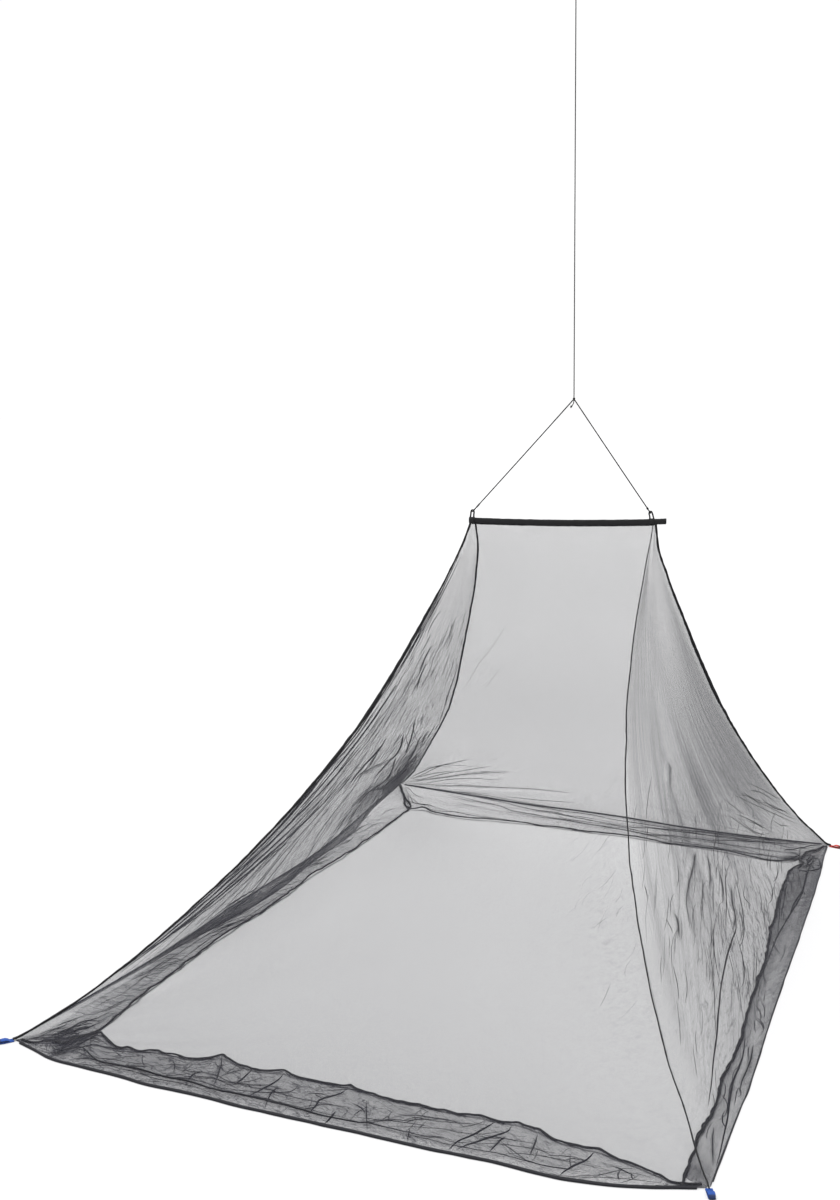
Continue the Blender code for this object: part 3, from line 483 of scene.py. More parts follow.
# the same on the skirts
SKIRT_CREASES = {
    "front_panel": (
        (0.007, 0.004, 0.7, ((0.307, 0.97), (0.319, 0.76), (0.329, 0.52), (0.337, 0.27))),
        (0.006, 0.003, 0.6, ((0.242, 0.83), (0.257, 0.655), (0.267, 0.443))),
        (0.006, 0.003, 0.6, ((0.301, 0.547), (0.295, 0.427), (0.301, 0.124))),
        (0.006, 0.003, 0.6, ((0.106, 0.59), (0.136, 0.75), (0.168, 0.94))),
        (0.006, 0.003, 0.6, ((0.419, 0.609), (0.421, 0.351), (0.429, 0.074))),
        (0.008, 0.003, 0.5, ((0.543, 0.788), (0.577, 0.078))),
        (0.006, 0.003, 0.6, ((0.625, 0.343), (0.635, 0.02))),
        (0.006, 0.003, 0.6, ((0.601, 0.581), (0.631, 0.673), (0.673, 0.731), (0.691, 0.627))),
        (0.006, 0.003, 0.6, ((0.745, 0.613), (0.741, 0.361), (0.737, 0.166))),
        (0.007, 0.003, 0.6, ((0.78, 0.884), (0.784, 0.599), (0.786, 0.307))),
        (0.006, 0.003, 0.6, ((0.653, 0.182), (0.673, 0.255))),
    ),
    "right_panel": (
        (0.008, 0.003, 0.8, ((0.287, 0.377), (0.236, 0.248), (0.20, 0.271), (0.178, 0.246))),
        (0.006, 0.003, 0.6, ((0.218, 0.617), (0.178, 0.533), (0.134, 0.421))),
        (0.006, 0.003, 0.8, ((0.10, 0.669), (0.06, 0.353), (0.034, 0.128))),
    ),
    "back_panel": (
        (0.010, 0.003, 0.8, ((0.152, 0.138), (0.255, 0.253), (0.345, 0.509), (0.441, 0.657), (0.591, 0.784))),
        (0.008, 0.003, 0.6, ((0.214, 0.06), (0.285, 0.146), (0.367, 0.267), (0.465, 0.447), (0.579, 0.505))),
    ),
    "left_panel": (
        (0.008, 0.004, 0.9, ((0.014, 0.703), (0.042, 0.832), (0.066, 0.914))),
        (0.008, 0.004, 0.9, ((0.006, 0.83), (0.046, 0.587), (0.068, 0.852))),
    ),
}
SKIRT_PLEATS = {
    "front_panel": (
        (0.0095, 9.0, ((0.05, 0.90), (0.08, 0.66), (0.144, 0.305), (0.194, 0.285), (0.236, 0.291), (0.319, 0.208),
                       (0.413, 0.226), (0.519, 0.17), (0.577, 0.226), (0.615, 0.238), (0.67, 0.245))),
        (0.0026, 3.6, ((0.228, 0.533), (0.299, 0.523), (0.399, 0.469), (0.461, 0.439), (0.543, 0.49))),
        (0.0036, 6.0, ((0.411, 0.94), (0.411, 0.743), (0.401, 0.433), (0.393, 0.255))),
        (0.0036, 6.0, ((0.509, 0.868), (0.505, 0.745), (0.487, 0.531), (0.489, 0.343), (0.487, 0.15))),
        (0.0036, 5.4, ((0.519, 0.357), (0.521, 0.148), (0.519, 0.02))),
        (0.0029, 3.9, ((0.363, 0.95), (0.363, 0.603), (0.359, 0.429))),
        (0.0032, 4.5, ((0.719, 0.956), (0.707, 0.557), (0.693, 0.283), (0.689, 0.06))),
        (0.0036, 5.4, ((0.743, 0.912), (0.741, 0.719), (0.719, 0.397), (0.705, 0.23), (0.697, 0.098))),
        (0.0036, 5.4, ((0.858, 0.90), (0.853, 0.65), (0.846, 0.481), (0.838, 0.25), (0.832, 0.058))),
        (0.0027, 3.6, ((0.307, 0.97), (0.319, 0.76), (0.329, 0.52), (0.337, 0.27))),
        (0.0025, 3.3, ((0.242, 0.83), (0.257, 0.655), (0.267, 0.443))),
        (0.0025, 3.3, ((0.301, 0.547), (0.295, 0.427), (0.301, 0.124))),
        (0.0025, 3.3, ((0.106, 0.59), (0.136, 0.75), (0.168, 0.94))),
        (0.0025, 3.3, ((0.419, 0.609), (0.421, 0.351), (0.429, 0.074))),
        (0.0025, 2.7, ((0.543, 0.788), (0.56, 0.42), (0.577, 0.078))),
        (0.0025, 3.0, ((0.625, 0.343), (0.63, 0.18), (0.635, 0.02))),
        (0.0027, 3.6, ((0.601, 0.581), (0.631, 0.673), (0.673, 0.731), (0.691, 0.627))),
        (0.0025, 3.3, ((0.745, 0.613), (0.741, 0.361), (0.737, 0.166))),
        (0.0025, 3.3, ((0.78, 0.884), (0.784, 0.599), (0.786, 0.307))),
        (0.0025, 3.0, ((0.653, 0.182), (0.662, 0.22), (0.673, 0.255))),
        (0.0060, 6.0, ((0.092, 0.934), (0.088, 0.946), (0.082, 0.904), (0.078, 0.529))),
        (0.0028, 3.5, ((0.108, 0.096), (0.128, 0.228), (0.15, 0.331))),
        (0.0026, 3.0, ((0.116, 0.605), (0.144, 0.822), (0.17, 0.926))),
        # the foot of the wall, pressed flat beside the outer edge
        (0.0040, 6.0, ((0.090, 0.421), (0.128, 0.303), (0.162, 0.315), (0.194, 0.285), (0.236, 0.295))),
        (0.0038, 6.0, ((0.085, 0.36), (0.14, 0.33), (0.22, 0.31), (0.30, 0.30), (0.40, 0.27), (0.50, 0.255), (0.57, 0.24))),
        (0.0027, 3.6, ((0.60, 0.20), (0.66, 0.17), (0.73, 0.17), (0.80, 0.20), (0.86, 0.26))),
        (0.0023, 2.7, ((0.14, 0.24), (0.22, 0.20), (0.30, 0.15), (0.37, 0.10))),
    ),
    "right_panel": (
        (0.0050, 6.0, ((0.934, 0.447), (0.898, 0.361), (0.876, 0.393), (0.844, 0.383), (0.812, 0.371), (0.778, 0.375),
                       (0.743, 0.463), (0.705, 0.515), (0.671, 0.549))),
        (0.0034, 4.5, ((0.788, 0.90), (0.729, 0.836), (0.667, 0.784))),
        (0.0050, 6.0, ((0.930, 0.96), (0.934, 0.553), (0.906, 0.495), (0.882, 0.641))),
        (0.0055, 6.0, ((0.890, 0.90), (0.878, 0.81), (0.864, 0.661), (0.864, 0.425), (0.872, 0.208), (0.89, 0.07))),
        (0.0040, 5.0, ((0.888, 0.774), (0.878, 0.573), (0.89, 0.393), (0.918, 0.299))),
        (0.0040, 5.0, ((0.924, 0.473), (0.928, 0.24), (0.908, 0.05), (0.886, 0.05), (0.872, 0.208))),
        (0.0042, 6.0, ((0.317, 0.95), (0.269, 0.693), (0.232, 0.595), (0.194, 0.575), (0.15, 0.475),
                       (0.108, 0.257), (0.064, 0.084), (0.034, 0.022))),
        (0.0036, 5.2, ((0.848, 0.383), (0.79, 0.349), (0.745, 0.383), (0.663, 0.579), (0.601, 0.721),
                       (0.527, 0.894), (0.479, 0.95))),
        (0.0027, 3.6, ((0.218, 0.617), (0.178, 0.533), (0.134, 0.421))),
        (0.0032, 4.2, ((0.287, 0.377), (0.236, 0.248), (0.20, 0.271), (0.178, 0.246))),
        (0.0027, 3.6, ((0.766, 0.98), (0.677, 0.87), (0.601, 0.695))),
        (0.0032, 4.5, ((0.10, 0.669), (0.06, 0.353), (0.034, 0.128))),
        (0.0027, 3.6, ((0.95, 0.80), (0.90, 0.55), (0.848, 0.40))),
    ),
    "back_panel": (
        (0.0040, 4.5, ((0.944, 0.95), (0.95, 0.868), (0.966, 0.97))),
        (0.0026, 2.6, ((0.93, 0.523), (0.964, 0.303), (0.990, 0.20))),
        (0.0028, 3.2, ((0.60, 0.28), (0.70, 0.32), (0.78, 0.34), (0.856, 0.347), (0.908, 0.204), (0.966, 0.11))),
        (0.0040, 5.0, ((0.70, 0.90), (0.80, 0.88), (0.876, 0.92), (0.90, 0.80), (0.91, 0.836), (0.948, 0.916))),
        (0.0026, 3.2, ((0.70, 0.12), (0.85, 0.146), (0.902, 0.038), (0.96, 0.026))),
        (0.0034, 4.0, ((0.01, 0.95), (0.068, 0.96), (0.118, 0.97))),
        (0.0040, 4.5, ((0.122, 0.97), (0.166, 0.96), (0.226, 0.89), (0.275, 0.918), (0.36, 0.96))),
        (0.0028, 3.2, ((0.06, 0.876), (0.132, 0.762), (0.18, 0.918))),
        (0.0038, 4.5, ((0.06, 0.918), (0.094, 0.70), (0.138, 0.822), (0.158, 0.92))),
        (0.0027, 3.3, ((0.531, 0.443), (0.603, 0.50), (0.677, 0.40), (0.80, 0.30), (0.92, 0.10))),
        (0.0029, 3.6, ((0.547, 0.782), (0.647, 0.739), (0.756, 0.597), (0.834, 0.435), (0.934, 0.158))),
        (0.0025, 2.7, ((0.152, 0.138), (0.255, 0.253), (0.345, 0.509), (0.441, 0.657), (0.591, 0.784), (0.75, 0.86))),
        (0.0023, 2.2, ((0.214, 0.06), (0.285, 0.146), (0.367, 0.267), (0.465, 0.447), (0.579, 0.505))),
        (0.0025, 3.0, ((0.30, 0.03), (0.45, 0.14), (0.62, 0.24), (0.80, 0.16), (0.96, 0.06))),
        (0.0021, 2.1, ((0.02, 0.30), (0.03, 0.60), (0.07, 0.80), (0.10, 0.95))),
    ),
    "left_panel": (
        (0.0044, 5.5, ((0.01, 0.617), (0.028, 0.569), (0.046, 0.557), (0.058, 0.651), (0.064, 0.782))),
        (0.0060, 6.0, ((0.028, 0.93), (0.018, 0.88), (0.010, 0.80), (0.006, 0.70))),
        (0.0060, 6.0, ((0.030, 0.896), (0.026, 0.756), (0.016, 0.639), (0.005, 0.90))),
        (0.0036, 5.2, ((0.02, 0.50), (0.05, 0.65), (0.09, 0.80))),
        (0.0029, 4.5, ((0.006, 0.83), (0.046, 0.587), (0.068, 0.852))),
        (0.0029, 4.5, ((0.014, 0.703), (0.042, 0.832), (0.066, 0.914))),
        (0.0025, 3.0, ((0.12, 0.55), (0.22, 0.50), (0.34, 0.55), (0.44, 0.70))),
        (0.0025, 3.0, ((0.16, 0.75), (0.26, 0.78), (0.36, 0.82), (0.50, 0.90))),
    ),
}
# how far the pinched folds stand up from the wall and from the skirt
STAND = {"front_panel": (0.0012, 0.0032), "right_panel": (0.0030, 0.0030), "back_panel": (0.0016, 0.0036),
         "left_panel": (0.0046, 0.0036)}
# small pinched wrinkles strewn over an area: share from, to, height (or place across the skirt)
# from, to, how many, length, lean from upright and its spread in degrees, width, density
WALL_WRINKLES = {
    "front_panel": (
        (0.90, 0.985, 0.15, 0.42, 8, 0.07, 34, 8, 0.0014, 0.5),
        (0.84, 0.985, 0.30, 0.62, 26, 0.08, 34, 9, 0.0012, 0.38),
    ),
    "right_panel": (
        (0.05, 0.45, 0.02, 0.30, 28, 0.130, 55, 6, 0.0014, 1.0),
        (0.04, 0.30, 0.20, 0.52, 16, 0.140, 50, 6, 0.0013, 0.8),
        (0.30, 0.90, 0.02, 0.26, 28, 0.150, 68, 6, 0.0017, 1.8),
        (0.30, 0.85, 0.14, 0.38, 14, 0.130, 66, 6, 0.0015, 1.2),
        (0.34, 0.58, 0.05, 0.28, 8, 0.240, 64, 4, 0.0025, 3.2),
        (0.66, 0.90, 0.03, 0.20, 9, 0.160, 72, 5, 0.0024, 3.4),
        (0.72, 0.995, 0.18, 0.34, 10, 0.18, -44, 6, 0.0022, 2.2),
    ),
    "back_panel": (
        (0.005, 0.26, 0.02, 0.20, 12, 0.26, 66, 8, 0.0022, 1.8),
        (0.60, 0.99, 0.03, 0.16, 10, 0.26, -74, 6, 0.0020, 1.3),
    ),
    "left_panel": (
        (0.06, 0.50, 0.10, 0.46, 34, 0.26, 0, 3, 0.0017, 2.0),
        (0.05, 0.22, 0.40, 1.05, 16, 0.20, 0, 3, 0.0016, 2.0),
        (0.80, 0.97, 0.09, 0.30, 80, 0.060, 20, 24, 0.0032, 7.0),
        (0.10, 0.95, 0.30, 0.90, 100, 0.08, 2, 6, 0.0012, 1.1),
        (0.30, 0.90, 0.40, 0.80, 16, 0.11, 2, 7, 0.0016, 2.4),
        (0.76, 0.985, 0.10, 0.42, 100, 0.075, 12, 16, 0.0026, 3.6),
        (0.55, 0.93, 0.08, 0.28, 54, 0.10, 24, 20, 0.0026, 3.2),
        (0.20, 0.68, 0.015, 0.11, 50, 0.15, 76, 8, 0.0030, 4.0),
    ),
}
SKIRT_WRINKLES = {
    "front_panel": (
        (0.12, 0.92, 0.30, 0.97, 70, 0.060, 20, 60, 0.0022, 2.8),
        (0.05, 0.95, 0.05, 0.95, 50, 0.16, 78, 10, 0.0022, 2.4),
        (0.075, 0.12, 0.30, 0.95, 26, 0.050, 60, 30, 0.0034, 4.5),
    ),
    "right_panel": (
        (0.04, 0.80, 0.15, 0.95, 30, 0.11, 82, 6, 0.0024, 2.2),
        (0.87, 0.94, 0.15, 0.95, 26, 0.050, 60, 40, 0.0032, 4.5),
    ),
    "back_panel": (
        (0.06, 0.96, 0.10, 0.95, 18, 0.28, 86, 2, 0.0022, 1.8),
        (0.94, 0.97, 0.60, 0.98, 14, 0.040, 50, 50, 0.0030, 4.0),
    ),
    "left_panel": (
        (0.02, 0.60, 0.30, 0.97, 46, 0.09, 76, 12, 0.0022, 2.2),
        (0.60, 0.96, 0.20, 0.97, 10, 0.12, 80, 8, 0.0020, 1.4),
        (0.006, 0.05, 0.35, 0.95, 34, 0.050, 70, 24, 0.0034, 4.5),
        (0.18, 0.74, 0.02, 0.40, 46, 0.17, 84, 4, 0.0030, 3.4),
    ),
}
# sharp little peaks of a hem: share, half width along it, height, how far it juts in
HEM_PEAKS = {
    "front_panel": ((0.086, 0.010, 0.0050, 0.0440), (0.056, 0.026, 0.0030, 0.0400), (0.104, 0.010, 0.0055, 0.0060), (0.166, 0.008, 0.0033, 0.0048), (0.212, 0.012, 0.0022, 0.0024),
                    (0.306, 0.012, 0.0066, 0.0072), (0.354, 0.008, 0.0022, 0.0030), (0.408, 0.010, 0.0055, 0.0060),
                    (0.51, 0.010, 0.0055, 0.0060), (0.612, 0.012, 0.0022, 0.0024), (0.696, 0.010, 0.0028, 0.0030),
                    (0.748, 0.008, 0.0044, 0.0036), (0.78, 0.010, 0.0055, 0.0048), (0.862, 0.012, 0.0066, 0.0060)),
    "right_panel": ((0.892, 0.016, 0.0040, -0.0420), (0.945, 0.012, 0.0060, 0.0160), (0.62, 0.012, 0.0033, 0.0036), (0.46, 0.015, 0.0044, 0.0036),
                    (0.32, 0.012, 0.0039, 0.0036), (0.198, 0.012, 0.0033, 0.0030)),
    "back_panel": ((0.145, 0.012, 0.0044, 0.0036), (0.55, 0.02, 0.0022, 0.0024)),
    "left_panel": ((0.12, 0.010, 0.0050, 0.0048), (0.21, 0.010, 0.0028, 0.0036), (0.33, 0.012, 0.0033, 0.0036),
                   (0.47, 0.012, 0.0033, 0.0036), (0.63, 0.012, 0.0033, 0.0036)),
}
# gathers: added density round a place on the wall, and below zero thinner, lighter netting; the place low near the
# left wall's front corner is thinned as a painted sheen: share, height, half widths, added
WALL_GATHERS_AND_PAINTED_SHEEN = {
    "front_panel": ((0.02, 0.30, 0.05, 0.30, 0.15),),
    "right_panel": ((0.98, 0.62, 0.34, 0.36, 0.80), (0.92, 0.14, 0.26, 0.16, -0.45), (0.60, 0.42, 0.25, 0.13, 0.35), (0.45, 0.14, 0.40, 0.12, -0.05),
                    (0.0, 0.40, 0.18, 0.45, -0.50)),
    "back_panel": ((0.02, 0.14, 0.06, 0.12, 0.2),),
    "left_panel": ((0.93, 0.20, 0.08, 0.09, 1.1), (0.875, 0.175, 0.055, 0.05, 4.4), (0.84, 0.32, 0.06, 0.06, 0.9), (0.70, 0.33, 0.08, 0.05, 0.5), (0.66, 0.25, 0.09, 0.04, 0.8), (0.84, 0.28, 0.08, 0.07, 0.35), (0.70, 0.19, 0.10, 0.05, 0.7),
                   (0.99, 0.03, 0.03, 0.05, 2.5), (0.30, 0.045, 0.14, 0.030, 0.45),
                   # on the next line the place at share 0.05, height 0.08 is thinned as a painted sheen
                   (0.20, 0.55, 0.35, 0.30, 0.10), (0.05, 0.08, 0.10, 0.09, -0.6)),
}
# fans of fine creases that run out of a corner: share at the corner, lowest and highest angle,
# reach, height, number of creases in a quarter turn
FANS = {
    "front_panel": ((0.0, 8, 75, 0.60, 0.0016, 34), (1.0, 8, 75, 0.50, 0.0012, 30)),
    "right_panel": ((0.0, 2, 60, 1.30, 0.0020, 80), (1.0, 8, 75, 0.60, 0.0022, 46)),
    "back_panel": ((0.0, 2, 70, 0.80, 0.0022, 40), (1.0, 4, 70, 0.60, 0.0018, 36)),
    "left_panel": ((0.0, 2, 50, 1.20, 0.0050, 60), (1.0, 4, 80, 0.55, 0.0060, 60)),
}
# upright fine folds: height of the folds, folds across the wall, from height, to height
UPRIGHT = {
    "front_panel": (0.0005, 90, 0.10, 1.10),
    "right_panel": (0.0006, 170, 0.15, 1.10),
    "back_panel": (0.0006, 100, 0.10, 1.10),
    "left_panel": (0.0010, 190, 0.15, 1.12),
}
# density of the walls by height: the front and right walls are denser low down as painted shade, in place of the
# netting's own shadow on the floor behind them, and the back wall is thinner low down to even the tone
WALL_DENSITY_AND_PAINTED_SHADE = {
    "front_panel": ((0.0, 1.42), (0.45, 1.38), (0.66, 1.14), (0.85, 1.0), (1.3, 1.0)),
    "right_panel": ((0.0, 1.27), (0.25, 1.30), (0.50, 1.05), (0.7, 1.0), (1.3, 1.0)),
    "back_panel": ((0.0, 0.45), (0.20, 0.55), (0.50, 0.90), (0.7, 1.0), (1.3, 1.0)),
    "left_panel": ((0.0, 0.92), (0.30, 0.90), (0.50, 0.92), (1.3, 1.0)),
}
# density of the skirt: inside the foot line, and outside it; place of that line across the skirt. It is partly the
# denser, crumpled netting of the skirt and partly painted shade in place of the netting's shadow on the floor
SKIRT_DENSITY_AND_PAINTED_SHADE = {
    "front_panel": (1.38, 1.38, 0.29),
    "right_panel": (1.15, 1.35, 0.20),
    "back_panel": (0.60, 0.48, 0.10),
    "left_panel": (1.05, 0.60, 0.20),
}
# bunched places on the skirts, and below zero thinner, lighter places; the thinning at the front corner of the front
# and left skirts is a painted sheen: share, place across, half widths, added density
SKIRT_GATHERS_AND_PAINTED_SHEEN = {
    "front_panel": ((0.085, 0.85, 0.016, 0.55, 1.6), (0.05, 0.4, 0.03, 0.5, -0.5), (0.985, 0.5, 0.02, 0.8, 1.2)),
    "right_panel": ((0.90, 0.55, 0.035, 0.60, -0.50), (0.965, 0.50, 0.035, 0.60, -0.75), (0.015, 0.60, 0.025, 0.60, 1.2)),
    "back_panel": ((0.955, 0.90, 0.015, 0.20, 1.4), (0.985, 0.3, 0.03, 0.5, -0.6)),
    "left_panel": ((0.012, 0.85, 0.014, 0.35, 1.8), (0.03, 0.10, 0.05, 0.40, -0.8), (0.88, 0.5, 0.12, 0.6, -0.35)),
}
# crushed netting: on the wall by share, height, half widths and value, and on the skirt
CRUSH = {
    "front_panel": (((0.95, 0.30, 0.08, 0.25, 0.15),), 0.55),
    "right_panel": (((0.50, 0.06, 0.40, 0.20, 0.70), (0.55, 0.26, 0.30, 0.20, 0.45)), 0.25),
    "back_panel": (((0.02, 0.10, 0.08, 0.12, 0.35), (0.98, 0.10, 0.10, 0.10, 0.25)), 0.20),
    "left_panel": (((0.90, 0.26, 0.14, 0.16, 1.2), (0.50, 0.50, 0.60, 0.40, 0.8), (0.25, 0.10, 0.40, 0.15, 0.7)), 0.5),
}
# density along each skirt, at its start and its change to its end, partly painted shade in place of the netting's
# shadow on the floor
SKIRT_SLOPE_AND_PAINTED_SHADE = {"front_panel": (1.24, -0.64), "right_panel": (0.76, 0.68), "back_panel": (0.24, 1.40),
               "left_panel": (1.18, -0.66)}
# ripples of the skirt for each metre along it and across it
SKIRT_RIPPLE = {"front_panel": (22, 16), "right_panel": (9, 50), "back_panel": (3.5, 34), "left_panel": (9, 34)}
SKIRT_ROOM = {"front_panel": 0.04, "right_panel": 0.10, "back_panel": 0.16, "left_panel": 0.14}
SEEDS = {"front_panel": 11, "right_panel": 23, "back_panel": 37, "left_panel": 51}
COLUMNS = {"front_panel": 270, "right_panel": 320, "back_panel": 250, "left_panel": 330}
WALL_ROWS, UPPER_ROWS, TURN_ROWS, SKIRT_ROWS = 214, 6, 6, 36


# --------------------------------------------------------------------------
# meshes
# --------------------------------------------------------------------------
def mesh_object(name, vertices, faces, mat, uv=None, attributes=(), smooth=True):
    """vertices (n, 3), faces a list of index tuples or an (m, 4) array, uv per vertex in metres."""
    me = bpy.data.meshes.new(name)
    if isinstance(faces, np.ndarray):
        me.vertices.add(len(vertices))
        me.vertices.foreach_set("co", np.asarray(vertices, np.float32).ravel())
        me.loops.add(faces.size)
        me.loops.foreach_set("vertex_index", faces.astype(np.int32).ravel())
        me.polygons.add(len(faces))
        me.polygons.foreach_set("loop_start", np.arange(0, faces.size, faces.shape[1], dtype=np.int32))
        me.update(calc_edges=True)
    else:
        me.from_pydata([tuple(v) for v in vertices], [], faces)
        me.update()
    if uv is not None:
        layer = me.uv_layers.new(name="cloth")
        index = np.zeros(len(me.loops), np.int32)
        me.loops.foreach_get("vertex_index", index)
        layer.data.foreach_set("uv", np.asarray(uv, np.float32)[index].ravel())
    for key, values in attributes:
        a = me.attributes.new(key, "FLOAT", "POINT")
        a.data.foreach_set("value", np.asarray(values, np.float32).ravel())
    me.validate()
    if smooth:
        me.shade_smooth()
    me.materials.append(mat)
    ob = bpy.data.objects.new(name, me)
    scene.collection.objects.link(ob)
    return ob


def grid_faces(n, m, first=0, closed_n=False, closed_m=False):
    i = np.arange(n if closed_n else n - 1)[:, None]
    j = np.arange(m if closed_m else m - 1)[None, :]
    a = i * m + j
    b = ((i + 1) % n) * m + j
    c = ((i + 1) % n) * m + (j + 1) % m
    d = i * m + (j + 1) % m
    return np.stack([a, b, c, d], -1).reshape(-1, 4) + first


class Builder:
    """Several grids and caps joined into one mesh."""

    def __init__(self):
        self.v, self.f, self.uv, self.extra, self.count = [], [], [], [], 0

    def grid(self, p, uv=None, extra=None, closed_n=False, closed_m=False, flip=False):
        n, m = p.shape[:2]
        f = grid_faces(n, m, self.count, closed_n, closed_m)
        if flip:
            f = f[:, ::-1]
        self.v.append(p.reshape(-1, 3))
        self.f += [tuple(int(x) for x in q) for q in f]
        self.uv.append(np.zeros((n * m, 2)) if uv is None else uv.reshape(-1, 2))
        self.extra.append(np.ones(n * m) if extra is None else extra.reshape(-1))
        self.count += n * m

    def cap(self, ring, flip=False):
        first = self.count
        self.v.append(ring)
        self.uv.append(np.zeros((len(ring), 2)))
        self.extra.append(np.ones(len(ring)))
        self.count += len(ring)
        order = list(range(first, first + len(ring)))
        self.f.append(tuple(order[::-1] if flip else order))

    def make(self, name, mat, attribute=None):
        attributes = [(attribute, np.concatenate(self.extra))] if attribute else []
        return mesh_object(name, np.concatenate(self.v), self.f, mat, np.concatenate(self.uv), attributes)


def unit(v):
    v = np.asarray(v, float)
    return v / np.maximum(np.linalg.norm(v, axis=-1, keepdims=True), 1e-12)


def frames(path, up=(0, 0, 1)):
    """Tangent, side and lift at every point of a path, carried along without twist."""
    t = unit(np.gradient(path, axis=0))
    n = np.zeros_like(path)
    first = np.array(up, float)
    if abs(first @ t[0]) > 0.95:
        first = np.array((1.0, 0, 0))
    n[0] = unit(first - t[0] * (first @ t[0]))
    for k in range(1, len(path)):
        v = n[k - 1] - t[k] * (n[k - 1] @ t[k])
        n[k] = unit(v)
    return t, np.cross(t, n), n


def resample(path, step):
    """The path with points about every step."""
    seg = np.linalg.norm(np.diff(path, axis=0), axis=1)
    s = np.concatenate([[0], np.cumsum(seg)])
    n = max(3, int(round(s[-1] / step)) + 1)
    k = np.linspace(0, s[-1], n)
    return np.stack([np.interp(k, s, path[:, c]) for c in range(3)], -1)


# --------------------------------------------------------------------------
# materials
# --------------------------------------------------------------------------
def new_material(name):
    mat = bpy.data.materials.new(name)
    mat.use_nodes = True
    nt = mat.node_tree
    bsdf = nt.nodes["Principled BSDF"]
    return mat, nt, bsdf


def node(nt, kind, **values):
    n = nt.nodes.new(kind)
    for key, value in values.items():
        setattr(n, key, value)
    return n


def maths(nt, operation, *inputs, clamp=False):
    n = nt.nodes.new("ShaderNodeMath")
    n.operation = operation
    n.use_clamp = clamp
    for k, value in enumerate(inputs):
        if isinstance(value, (int, float)):
            n.inputs[k].default_value = value
        else:
            nt.links.new(value, n.inputs[k])
    return n.outputs[0]


def thread_pattern(nt, mesh_size, thread):
    """1 on the threads and 0 in the holes of the netting, with the share that the threads cover."""
    uv = node(nt, "ShaderNodeUVMap", uv_map="cloth")
    brick = node(nt, "ShaderNodeTexBrick")
    brick.offset = 0.5
    brick.offset_frequency = 2
    brick.squash = 1.0
    nt.links.new(uv.outputs["UV"], brick.inputs["Vector"])
    brick.inputs["Scale"].default_value = 1.0
    brick.inputs["Mortar Size"].default_value = thread / 2
    brick.inputs["Mortar Smooth"].default_value = 0.25
    brick.inputs["Bias"].default_value = 0.0
    brick.inputs["Brick Width"].default_value = mesh_size
    brick.inputs["Row Height"].default_value = mesh_size * 0.92
    covered = 1 - (1 - thread / mesh_size) * (1 - thread / (mesh_size * 0.92))
    return brick.outputs["Fac"], covered, uv


COVER = 0.135              # share of plain netting that thread covers, seen straight on


